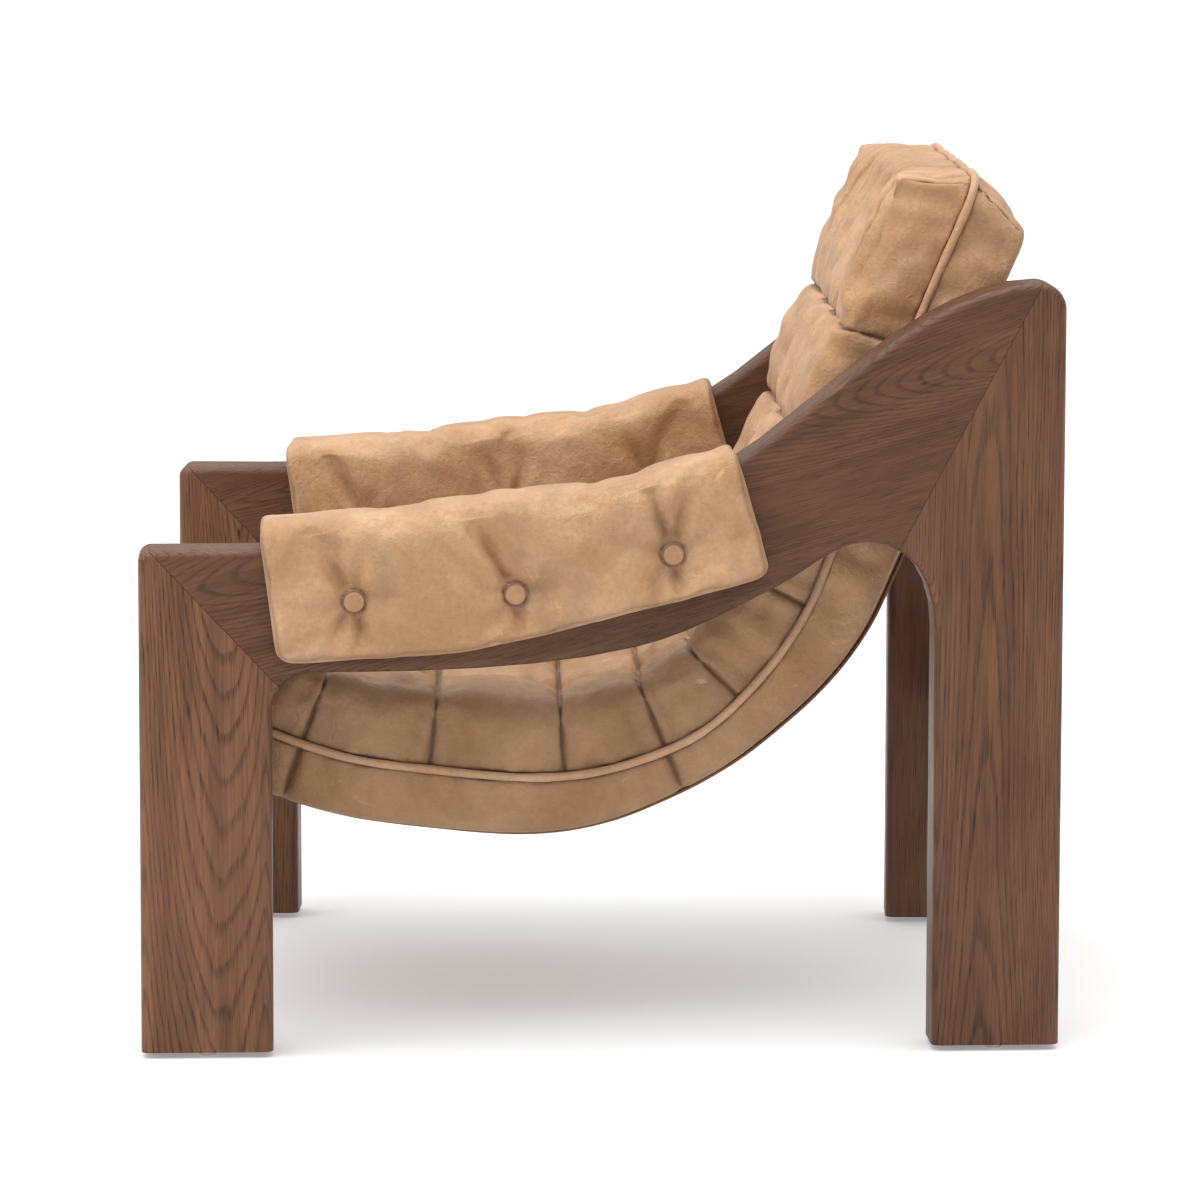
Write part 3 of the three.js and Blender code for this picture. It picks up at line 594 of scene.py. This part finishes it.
def pad_mesh(side, name):
    """The pad's cover before it is blown up, and which of its vertices are held."""
    along = np.linspace(0, 1, PAD_GRID[0])
    across = np.linspace(-1, 1, PAD_GRID[1])
    faces, ij, ring = box_grid(across, along, len(PAD_DEPTHS) - 1)
    share, q = along[ij[:, 0]], across[ij[:, 1]]
    outside = ring == 0
    to_end, to_rim = np.minimum(share, 1 - share) * PAD_LENGTH, (1 - np.abs(q)) * PAD_GIRTH
    to_edge = np.minimum(to_end, to_rim)
    rim_in, end_in = corner_pull(to_rim, to_end, PAD_CORNER)
    slack = PAD_SLACK * smoothstep(to_edge, 0.0, 0.03)
    depth = np.array(PAD_DEPTHS)[ring]
    depth = depth + outside * (edge_drop(to_edge, PAD_EDGE) + slack) / PAD_THICKNESS
    rounded_share = share + np.sign(0.5 - share) * end_in / PAD_LENGTH
    co = pad_place(rounded_share, q - np.sign(q) * rim_in / PAD_GIRTH, depth)
    held = ~outside | (to_edge < 1e-9)
    dimple = np.zeros(len(co))
    faces_of_pad = (outside & (q > ON_FACE), BUTTONS), (outside & (q < -ON_FACE), INNER_BUTTONS)
    for on_face, places in faces_of_pad:
        for y, z in places:
            away = np.hypot(co[:, 1] - y, co[:, 2] - z)
            dimple = np.maximum(dimple, on_face * np.exp(-((away / DIMPLE_REACH) ** 2)))
            held |= on_face & (away < BUTTON_GRIP)
    co[:, 0] -= np.sign(co[:, 0]) * DIMPLE_DEPTH * dimple
    if side < 0:
        faces = faces[:, ::-1]
        verts = placed(co * [-1, 1, 1], side_matrix(side))
    else:
        verts = placed(co, side_matrix(side))
    obj = new_object(name, verts, faces)
    store(obj, "outside", outside)
    store(obj, "place_y", co[:, 1])
    store(obj, "place_z", co[:, 2])
    store(obj, "face", np.where(np.abs(q) > ON_FACE, np.sign(q), 0))
    store(obj, "to_edge", np.where(outside, to_edge, 0))
    return obj, held


def fold_depth(y, z, buttons, folds):
    """How deep the folds that run out from the buttons are at points of a pad's face."""
    total = np.zeros_like(y)
    for (by, bz), rays in zip(buttons, folds):
        dy, dz = y - by, z - bz
        for degrees, length, deep, width in rays:
            a = math.radians(degrees)
            run = dy * math.cos(a) + dz * math.sin(a)
            off = -dy * math.sin(a) + dz * math.cos(a) + 0.10 * run * math.sin(9 * a)
            taper = smoothstep(run, 0.006, 0.018) * (1 - smoothstep(run, 0.35 * length, length))
            spread = width * (0.40 + 0.80 * np.clip(run / length, 0, 1))
            valley = 0.65 * np.exp(-1.3 * np.abs(off) / spread) + 0.35 * np.exp(-((off / spread) ** 2))
            beside = np.exp(-(((np.abs(off) - 1.8 * spread) / spread) ** 2))
            total += deep * taper * (valley - 0.22 * beside)
    return total


def add_pad(side, label):
    """The leather pad over one arm: blown up, dimpled at its buttons and folded round them."""
    obj, held = pad_mesh(side, "arm_pad_cover_" + label)
    inflate(obj, held, pressure=4.5, growth=0.025, frames=14, most=0.0095, stiffness=4.0)
    subdivide(obj)
    co, n = vectors(obj.data), vectors(obj.data, "normal")
    y, z = read(obj, "place_y"), read(obj, "place_z")
    face, outside, to_edge = read(obj, "face"), read(obj, "outside"), read(obj, "to_edge")
    folds = fold_depth(y, z, BUTTONS, FOLDS) * (face > 0.5)
    folds += 0.8 * fold_depth(y, z, INNER_BUTTONS, FOLDS[1:] + FOLDS[:1]) * (face < -0.5)
    folds *= smoothstep(to_edge, 0.001, 0.012)
    # over the arm's top the leather lies in low waves above the buttons
    over = (np.abs(face) < 0.5) * outside
    waves = over * 0.0022 * np.exp(-((nearest(y, [b[0] - 0.035 for b in BUTTONS]) / 0.016) ** 2))
    low_waves = outside * 0.0006 * wave(y + 0.7 * z, (0.083, 0.2, 1), (0.047, 1.3, 0.6))
    waves += low_waves * wave(z - 0.4 * y, (0.061, 0.9, 1))
    ring = np.zeros_like(y)
    for on_face, places in ((face > 0.5, BUTTONS), (face < -0.5, INNER_BUTTONS)):
        for by, bz in places:
            away = np.hypot(y - by, z - bz)
            near = np.exp(-(((away - BUTTON_RADIUS - 0.0003) / 0.0012) ** 2))
            ring = np.maximum(ring, near * on_face * outside)
    set_coordinates(obj, co - n * ((folds + waves + 0.0020 * ring) * outside)[:, None])
    # painted shade round the buttons, along the seam near the edge and in the deepest folds
    seam = np.exp(-(((to_edge - 0.0050) / 0.0016) ** 2)) * outside
    fold_line = 0.32 * smoothstep(folds, 0.0055, 0.0100)
    store(obj, "crease", np.maximum(np.maximum(0.85 * ring, 0.5 * seam), fold_line * outside))
    return obj


def add_button(name, side, face, place):
    """A leather-covered button: a flat disc turned about the X axis, with a rolled rim."""
    turns = 32
    verts, faces = [], []
    for share, height in BUTTON_PROFILE:
        for k in range(turns if share > 0 else 1):
            angle = 2 * math.pi * k / turns
            radius = BUTTON_RADIUS * share
            verts.append((height, radius * math.cos(angle), radius * math.sin(angle)))
    round_rings = len(BUTTON_PROFILE) - 2
    rings = [list(range(1 + turns * i, 1 + turns * (i + 1))) for i in range(round_rings)]
    last = 1 + turns * round_rings
    for k in range(turns):
        j = (k + 1) % turns
        faces.append((0, rings[0][k], rings[0][j]))
        faces.append((last, rings[-1][j], rings[-1][k]))
        for a, b in zip(rings[:-1], rings[1:]):
            faces.append((a[k], b[k], b[j], a[j]))
    out = BOARD / 2 + PAD_THICKNESS - BUTTON_SUNK
    co = np.array(verts) * [face, 1, 1] + [face * out, *place]
    faces = [f[::-1] if face < 0 else f for f in faces]
    obj = new_object(name, placed(co, side_matrix(side)), faces)
    rim = np.hypot(co[:, 1] - place[0], co[:, 2] - place[1]) / BUTTON_RADIUS
    # painted shade round the button's rim
    store(obj, "crease", 0.9 * smoothstep(rim, 0.85, 0.925))
    return obj


# ---------------------------------------------------------------- sling
def rail_under(s):
    """The middle (Y, Z) of the rail under the seam line at s, and the angle at which they touch."""
    point, up = seam_frame(s)
    drop = base_thickness(s) + CUSHION_REST + 2 * LAYER + LAYER_GAP + FIT_GAP + RAIL_RADIUS
    return point - up * drop, math.atan2(up[1], up[0])


def round_rail(rail, radius, turns):
    """Points (Y, Z) on the sling's way round a rail, at angles from where it meets the rail."""
    centre, contact = rail
    angle = contact + turns
    return centre + radius * np.column_stack([np.cos(angle), np.sin(angle)])


def sling_line(depth):
    """The middle of one leather layer (Y, Z): round the front rail, under the cushion and round the
    top rail. `depth` is how far it lies under the sling's upper face."""
    radius = RAIL_RADIUS + FIT_GAP + 2 * LAYER + LAYER_GAP - depth
    turns = np.linspace(0, 1.3 * math.pi, 12)
    start = round_rail(rail_under(FRONT_RAIL_AT), radius, turns)[::-1]
    end = round_rail(rail_under(TOP_RAIL_AT), radius, -turns)
    s = np.arange(FRONT_RAIL_AT + 0.04, TOP_RAIL_AT - 0.03, 0.04)
    point, up = seam_frame(s)
    body = point - up * (base_thickness(s) + CUSHION_REST + depth)[:, None]
    return catmull_rom(np.vstack([start, body, end]), 4)


def add_sling_layer(name, depth):
    """One leather layer with rounded edges and a sewn line beside them. Returns it and its length."""
    line = sling_line(depth)
    at = arc_lengths(line)
    slope = np.gradient(line, at, axis=0)
    slope /= np.linalg.norm(slope, axis=1)[:, None]
    up = np.column_stack([-slope[:, 1], slope[:, 0]])
    across = np.concatenate([[-1, -0.99], np.linspace(-0.9, 0.9, 13), [0.99, 1]])
    faces, ij, ring = box_grid(across, at, 3)
    i, share = ij[:, 0], across[ij[:, 1]]
    level = np.array([1, 0.55, -0.55, -1])[ring]
    rim = np.isin(ring, (1, 2)) * 0.0006
    half = LAYER / 2
    end = (i == len(at) - 1).astype(float) - (i == 0)
    yz = line[i] + up[i] * (level * half)[:, None] + slope[i] * (end * rim)[:, None]
    x = share * SLING_HALF_WIDTH + np.sign(share) * rim * (np.abs(share) > 0.999)
    obj = new_object(name, np.column_stack([x, yz]), faces)
    edge = SLING_HALF_WIDTH - np.abs(x)
    # a darker line is painted 6 mm in from each edge, along the stitching
    store(obj, "crease", np.exp(-(((edge - 0.006) / 0.0012) ** 2)) * 0.5)
    return obj, at[-1]


# ---------------------------------------------------------------- materials
class Nodes:
    """A short way to write a material's nodes."""

    def __init__(self, name):
        self.material = bpy.data.materials.new(name)
        self.material.use_nodes = True
        self.tree = self.material.node_tree
        self.shader = self.tree.nodes["Principled BSDF"]

    def add(self, kind, inputs=None, **settings):
        node = self.tree.nodes.new("ShaderNode" + kind)
        for key, value in settings.items():
            setattr(node, key, value)
        for key, value in (inputs or {}).items():
            self.set(node.inputs[key], value)
        return node

    def set(self, socket, value):
        if isinstance(value, bpy.types.NodeSocket):
            self.tree.links.new(value, socket)
        elif isinstance(value, (tuple, list)) and len(value) == 3 and socket.type == "RGBA":
            socket.default_value = (*value, 1)
        else:
            socket.default_value = value

    def place(self):
        return self.add("TexCoord").outputs["Object"]

    def scaled(self, vector, scale=(1, 1, 1), offset=(0, 0, 0)):
        inputs = {"Vector": vector, "Scale": scale, "Location": offset}
        return self.add("Mapping", inputs).outputs["Vector"]

    def noise(self, vector, scale, detail=2.0, roughness=0.5, distortion=0.0, output="Fac"):
        inputs = {"Vector": vector, "Scale": scale, "Detail": detail, "Roughness": roughness}
        return self.add("TexNoise", {**inputs, "Distortion": distortion}).outputs[output]

    def cells(self, vector, scale):
        return self.add("TexVoronoi", {"Vector": vector, "Scale": scale}).outputs["Distance"]

    def math(self, operation, a, b=0.0):
        return self.add("Math", {0: a, 1: b}, operation=operation).outputs[0]

    def times(self, a, b):
        return self.math("MULTIPLY", a, b)

    def plus(self, a, b):
        return self.math("ADD", a, b)

    def vector_math(self, operation, inputs, output=0):
        return self.add("VectorMath", inputs, operation=operation).outputs[output]

    def range(self, value, low, high, out_low=0.0, out_high=1.0):
        inputs = {"Value": value, "From Min": low, "From Max": high}
        inputs |= {"To Min": out_low, "To Max": out_high}
        return self.add("MapRange", inputs, interpolation_type="SMOOTHSTEP").outputs[0]

    def mix(self, factor, a, b):
        """The second colour over the first, by a factor from 0 to 1."""
        node = self.add("Mix", data_type="RGBA")
        for number, value in ((0, factor), (6, a), (7, b)):  # the sockets for colours
            self.set(node.inputs[number], value)
        return node.outputs[2]

    def attribute(self, name):
        return self.add("Attribute", attribute_name=name).outputs["Fac"]

    def bump(self, height, distance, strength, after=None):
        node = self.add("Bump", {"Height": height, "Distance": distance, "Strength": strength})
        if after is not None:
            self.set(node.inputs["Normal"], after)
        return node.outputs["Normal"]

    def finish(self, **values):
        for key, value in values.items():
            self.set(self.shader.inputs[key.replace("_", " ")], value)
        return self.material


def leather(name, pale, warm, grey, sheen=0.16):
    """Nubuck leather: clouded colour, a pebbled grain, pale scuffs, painted shade in the creases, seams,
    folds and button rims, and a seat darkened as painted shade.
    """
    n = Nodes(name)
    place = n.place()
    cloud = n.noise(place, 6.5, 4.0, 0.62, 0.6)
    patch = n.noise(n.scaled(place, offset=(3.1, 1.7, 5.2)), 15.0, 5.0, 0.65, 0.4)
    colour = n.mix(n.range(cloud, 0.36, 0.66), warm, pale)
    colour = n.mix(n.range(patch, 0.46, 0.74, 0, 0.60), colour, grey)
    mottle = n.noise(place, 210.0, 4.0, 0.7)
    darker = n.mix(0.55, colour, (0.12, 0.06, 0.028))
    colour = n.mix(n.range(mottle, 0.3, 0.75, 0.0, 0.40), colour, darker)
    # painted shade: the seat is darkened, standing in for the shade it lies in under the arms and the
    # back
    colour = n.mix(n.times(n.attribute("painted_seat_shade"), 0.42), colour, (0.155, 0.080, 0.034))
    scuff = n.noise(n.scaled(place, (34, 15, 26)), 1.0, 8.0, 0.72, 1.2)
    scuffed = n.range(scuff, 0.61, 0.70, 0, 0.38)
    colour = n.mix(scuffed, colour, tuple(min(1.0, 1.45 * c) for c in pale))
    # painted shade: creases, seam grooves, folds and button rims are darkened by the crease attribute
    colour = n.mix(n.times(n.attribute("crease"), 0.78), colour, (0.055, 0.026, 0.013))
    grain = n.cells(place, 560.0)
    fine = n.noise(place, 1500.0, 2.0, 0.6)
    wrinkle = n.noise(n.scaled(place, offset=(0.4, 0.9, 0.1)), 85.0, 6.0, 0.62, 1.4)
    normal = n.bump(n.range(wrinkle, 0.25, 0.8), 0.0012, 0.60)
    normal = n.bump(grain, 0.00050, 0.50, normal)
    normal = n.bump(fine, 0.00018, 0.45, normal)
    rough = n.plus(n.range(patch, 0.3, 0.7, 0.46, 0.62), n.times(scuffed, 0.15))
    n.shader.inputs["Sheen Weight"].default_value = sheen
    n.shader.inputs["Sheen Roughness"].default_value = 0.40
    n.shader.inputs["Sheen Tint"].default_value = (1.0, 0.88, 0.76, 1)
    n.shader.inputs["Specular IOR Level"].default_value = 0.36
    return n.finish(Base_Color=colour, Roughness=rough, Normal=normal)


WOOD_COLOURS = [(0.178, 0.077, 0.0335), (0.112, 0.045, 0.0185), (0.031, 0.0115, 0.005)]
RING_WIDTH = 0.0023


def wood(name, grain, pith, tone, shift=(0, 0, 0)):
    """Dark-stained ash cut from one log: growth rings about a pith line, open pores and fibres.
    grain is the direction of the log's axis and pith a point that the axis goes through. tone
    makes it lighter or darker, and shift changes its accidents."""
    n = Nodes(name)
    axis = Vector(grain).normalized()
    side = axis.cross(Vector((1, 0, 0)))
    side = side.normalized() if side.length > 0.1 else Vector((0, 1, 0))
    turn = Matrix((side.cross(axis), side, axis))
    offset = -(turn @ Vector(pith))
    inputs = {"Vector": n.place(), "Location": tuple(offset), "Rotation": turn.to_euler()}
    local = n.add("Mapping", inputs).outputs["Vector"]
    moved = n.scaled(local, offset=shift)
    # growth rings: the distance from the pith line, bent and unsteady, in ring widths
    bend = n.noise(n.scaled(moved, (1, 1, 0.22)), 5.0, 2.0, 0.4, output="Color")
    push = n.vector_math("SUBTRACT", {0: bend, 1: (0.5, 0.5, 0.5)})
    push = n.vector_math("SCALE", {0: push, "Scale": 0.034})
    bent = n.vector_math("ADD", {0: local, 1: push})
    flat = n.vector_math("MULTIPLY", {0: bent, 1: (1, 1, 0)})
    radius = n.vector_math("LENGTH", {0: flat}, "Value")
    shiver = n.noise(n.scaled(moved, (1, 1, 0.10)), 55.0, 3.0, 0.5)
    wide = n.noise(radius, 11.0, 1.0)
    rings = n.plus(n.math("DIVIDE", radius, RING_WIDTH), n.times(wide, 5.0))
    rings = n.plus(rings, n.times(shiver, 0.95))
    phase = n.math("FRACT", rings)
    early = n.times(n.range(phase, 0.0, 0.12), n.math("SUBTRACT", 1.0, n.range(phase, 0.16, 0.46)))
    # pores, fibres and flecks drawn out along the grain
    pores = n.noise(n.scaled(moved, (1, 1, 0.020)), 1000.0, 3.0, 0.6)
    fibre = n.noise(n.scaled(moved, (1, 1, 0.03)), 360.0, 5.0, 0.65)
    flecks = n.noise(n.scaled(moved, (1, 1, 0.06), (7.3, 1.9, 0.4)), 620.0, 4.0, 0.7)
    streak = n.noise(n.scaled(moved, (1, 1, 0.05)), 60.0, 4.0, 0.6)
    cloud = n.noise(moved, 5.0, 3.0, 0.55)
    open_pores = n.times(n.range(pores, 0.50, 0.64), n.plus(n.times(early, 0.85), 0.15))
    light, middle, dark = (tuple(c * tone for c in colour) for colour in WOOD_COLOURS)
    colour = n.mix(n.range(streak, 0.30, 0.70), middle, light)
    colour = n.mix(n.range(fibre, 0.35, 0.75, 0, 0.55), colour, dark)
    colour = n.mix(n.range(flecks, 0.55, 0.75, 0, 0.45), colour, tuple(1.35 * c for c in light))
    colour = n.mix(n.times(early, 0.42), colour, dark)
    colour = n.mix(n.times(open_pores, 0.90), colour, (0.014, 0.006, 0.004))
    warmer = n.mix(0.6, colour, (0.22, 0.100, 0.052))
    colour = n.mix(n.range(cloud, 0.35, 0.7, 0, 0.35), colour, warmer)
    normal = n.bump(n.math("SUBTRACT", 1.0, early), 0.00025, 0.40)
    normal = n.bump(n.math("SUBTRACT", 1.0, open_pores), 0.0003, 0.65, normal)
    normal = n.bump(fibre, 0.00010, 0.5, normal)
    rough = n.plus(n.range(fibre, 0.3, 0.7, 0.36, 0.48), n.times(open_pores, 0.25))
    n.shader.inputs["Specular IOR Level"].default_value = 0.30
    return n.finish(Base_Color=colour, Roughness=rough, Normal=normal)


def nylon(name):
    """Pale, slightly clouded plastic."""
    n = Nodes(name)
    place = n.place()
    haze = n.noise(place, 160.0, 4.0, 0.6)
    colour = n.mix(n.range(haze, 0.3, 0.7), (0.74, 0.62, 0.50), (0.90, 0.85, 0.78))
    normal = n.bump(n.noise(n.scaled(place, (1, 1, 4)), 500.0, 2.0), 0.0001, 0.4)
    rough = n.range(haze, 0.2, 0.8, 0.22, 0.42)
    return n.finish(Base_Color=colour, Roughness=rough, Normal=normal)


def steel(name):
    """Plain brushed steel."""
    n = Nodes(name)
    brushed = n.noise(n.scaled(n.place(), (1, 1, 30)), 260.0, 3.0, 0.6)
    colour = n.mix(brushed, (0.42, 0.40, 0.38), (0.66, 0.64, 0.61))
    normal = n.bump(brushed, 0.00005, 0.4)
    n.shader.inputs["Metallic"].default_value = 1.0
    rough = n.range(brushed, 0.2, 0.8, 0.24, 0.44)
    return n.finish(Base_Color=colour, Roughness=rough, Normal=normal)


# ---------------------------------------------------------------- boards and rails
def smooth_node(name, material):
    """A CAD node kept as it is: shaded smooth over its rounded edges, and given its material."""
    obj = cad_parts[name]
    mesh = obj.data
    if "custom_normal" in mesh.attributes:
        mesh.attributes.remove(mesh.attributes["custom_normal"])
    shade_smooth(mesh)
    weld = obj.modifiers.new("weld", "WELD")
    weld.merge_threshold = 0.00002
    split = obj.modifiers.new("split", "EDGE_SPLIT")
    split.split_angle = math.radians(32)
    weighted = obj.modifiers.new("weighted", "WEIGHTED_NORMAL")
    weighted.weight = 100
    mesh.materials.clear()
    mesh.materials.append(material)


# ---------------------------------------------------------------- camera, floor and light
IMAGE_WIDTH, FOCAL_LENGTH = 1200.0, 5511.0  # both in pixels
SENSOR_WIDTH = 36.0  # millimetres
CAMERA_SHIFT = -0.1
CAMERA_PLACE = (5.7455, -0.0900, 1.2147)
CAMERA_TURN = (-0.935, -6.7777, -0.1286)  # yaw, pitch and roll in degrees, from looking along -X
FLOOR_WHITE, FLOOR_GLOW = 0.68, 0.27
STUDIO_LOW, STUDIO_HIGH = 0.15, 1.95  # the studio's brightness at the horizon and overhead


def add_camera():
    """A long lens a little above the chair, at its left side."""
    data = bpy.data.cameras.new("camera")
    data.sensor_width = SENSOR_WIDTH
    data.lens = FOCAL_LENGTH / IMAGE_WIDTH * data.sensor_width
    data.shift_y = CAMERA_SHIFT
    data.clip_end = 500
    camera = bpy.data.objects.new("camera", data)
    bpy.context.scene.collection.objects.link(camera)
    yaw, pitch, roll = (math.radians(a) for a in CAMERA_TURN)
    towards = Matrix.Rotation(yaw, 3, "Z") @ Vector((-1, 0, 0))
    right = Matrix.Rotation(yaw, 3, "Z") @ Vector((0, 1, 0))
    tilt = Matrix.Rotation(pitch, 3, right)
    towards = tilt @ towards
    spin = Matrix.Rotation(roll, 3, towards)
    right = spin @ right
    up = right.cross(towards)
    rotation = Matrix((right, up, -towards)).transposed()
    camera.matrix_world = Matrix.Translation(CAMERA_PLACE) @ rotation.to_4x4()
    bpy.context.scene.camera = camera


def add_stage():
    """A plain pale floor in a white studio."""
    bpy.ops.mesh.primitive_plane_add(size=160, location=(0, 0, 0))
    floor = bpy.context.object
    floor.name = "studio_floor"
    material = bpy.data.materials.new("studio_floor")
    material.use_nodes = True
    shader = material.node_tree.nodes["Principled BSDF"]
    shader.inputs["Base Color"].default_value = (FLOOR_WHITE, FLOOR_WHITE, FLOOR_WHITE, 1)
    shader.inputs["Roughness"].default_value = 0.9
    shader.inputs["Specular IOR Level"].default_value = 0.1
    # the studio's floor is lit from beneath a little, so that shadows on it stay pale
    shader.inputs["Emission Color"].default_value = (1, 1, 1, 1)
    shader.inputs["Emission Strength"].default_value = FLOOR_GLOW
    floor.data.materials.append(material)
    # the studio is brighter overhead than at its walls
    world = bpy.data.worlds.new("studio")
    bpy.context.scene.world = world
    world.use_nodes = True
    nodes, links = world.node_tree.nodes, world.node_tree.links
    direction = nodes.new("ShaderNodeTexCoord").outputs["Generated"]
    split = nodes.new("ShaderNodeSeparateXYZ")
    links.new(direction, split.inputs[0])
    strength = nodes.new("ShaderNodeMapRange")
    links.new(split.outputs["Z"], strength.inputs["Value"])
    strength.inputs["To Min"].default_value = STUDIO_LOW
    strength.inputs["To Max"].default_value = STUDIO_HIGH
    links.new(strength.outputs[0], nodes["Background"].inputs["Strength"])
    nodes["Background"].inputs["Color"].default_value = (1, 1, 1, 1)
    bpy.context.scene.view_settings.view_transform = "Standard"


def area_light(name, place, aim, size, power):
    data = bpy.data.lights.new(name, "AREA")
    data.shape = "RECTANGLE"
    data.size, data.size_y = size
    data.energy = power
    light = bpy.data.objects.new(name, data)
    bpy.context.scene.collection.objects.link(light)
    light.location = place
    light.rotation_euler = (Vector(aim) - Vector(place)).to_track_quat("-Z", "Y").to_euler()


# ---------------------------------------------------------------- the chair
def put_on_chair(piece, material, slot, *nodes):
    """Gives a piece its material, and has it ride on the chair in place of CAD nodes."""
    piece.data.materials.append(material)
    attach(piece, CHAIR)
    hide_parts(*nodes)


add_camera()
add_stage()

TAN = leather(
    "tan_leather", (0.50, 0.305, 0.162), (0.370, 0.200, 0.090), (0.285, 0.190, 0.108)
)
PIPING_TAN = leather(
    "piping_leather", (0.52, 0.320, 0.185), (0.44, 0.250, 0.130), (0.34, 0.230, 0.145)
)
TAN_BUTTON = leather(
    "button_leather", (0.42, 0.240, 0.125), (0.35, 0.180, 0.082), (0.25, 0.165, 0.098)
)
SADDLE = leather(
    "saddle_leather", (0.27, 0.135, 0.062), (0.21, 0.100, 0.045), (0.15, 0.082, 0.042), sheen=0.05
)

cushion, cushion_held, cushion_most, seam_loop = cushion_shape()
piping = add_piping(cushion, seam_loop)
inflate(cushion, cushion_held, pressure=9.0, growth=0.06, frames=20, most=cushion_most)
finish_cushion(cushion)
put_on_chair(cushion, TAN, "cushion_leather", "cushion_top", "cushion_base")
put_on_chair(piping, PIPING_TAN, "cushion_leather", "cushion_welt")

for label, side in SIDES.items():
    pad = add_pad(side, label)
    put_on_chair(pad, TAN, "cushion_leather", "arm_pad_" + label)
    for face in (1, -1):
        where = "outer" if face == side else "inner"
        for number, place in enumerate(BUTTONS if where == "outer" else INNER_BUTTONS, 1):
            title = f"button_{label}_{where}_{number}"
            button = add_button(title, side, face, place)
            put_on_chair(button, TAN_BUTTON, "button_leather", "pad_" + title)

inner_depth = LAYER / 2
for name, depth in (("inner", inner_depth), ("outer", inner_depth + LAYER + LAYER_GAP)):
    layer, length = add_sling_layer("sling_leather_" + name, depth)
    put_on_chair(layer, SADDLE, "sling_leather", f"sling_{name}_layer")

# every board is cut from a log of its own
for label, side in SIDES.items():
    x = side * 0.37
    leg_pith = (x - side * 0.085, -0.385 + 0.012 * side, 0.3)
    rear_pith = (x - side * 0.075, 0.375, 0.3)
    arm_pith = (x - side * 0.055, 0.10, 0.615)
    for node, wood_name, grain, pith, tone, shift in (
        ("front_leg_", "front_leg_wood_", (0.030 * side, -0.012, 1), leg_pith, 1.12, (side, 0, 0)),
        ("rear_leg_", "rear_leg_wood_", (-0.022 * side, 0.010, 1), rear_pith, 0.86, (0, side, 2)),
        ("arm_rail_", "arm_wood_", (0.03 * side, 1, 0.30), arm_pith, 0.72, (5, 0, side)),
    ):
        smooth_node(node + label, wood(wood_name + label, grain, pith, tone, shift))
    tenon = wood("tenon_wood_" + label, (0, 1, 0.9), (x, 0, 0.4), 2.4)
    for place in ("front", "rear"):
        smooth_node(f"{place}_mitre_tenon_{label}", tenon)
        smooth_node(f"glide_{place}_{label}", nylon(f"glide_nylon_{place}_{label}"))
        smooth_node(f"glide_insert_{place}_{label}", steel(f"insert_steel_{place}_{label}"))
rail_wood = wood("rail_wood", (1, 0.004, 0.003), (0, 0.02, 0.4), 0.95)
for name in ("front_rail", "top_rail", "rear_stretcher"):
    smooth_node(name, rail_wood)

area_light("overhead", (0.6, -0.5, 3.0), (0, 0, 0.3), (3.0, 3.0), 62)
area_light("key", (1.6, -3.2, 2.3), (0, 0, 0.5), (2.0, 2.0), 22)
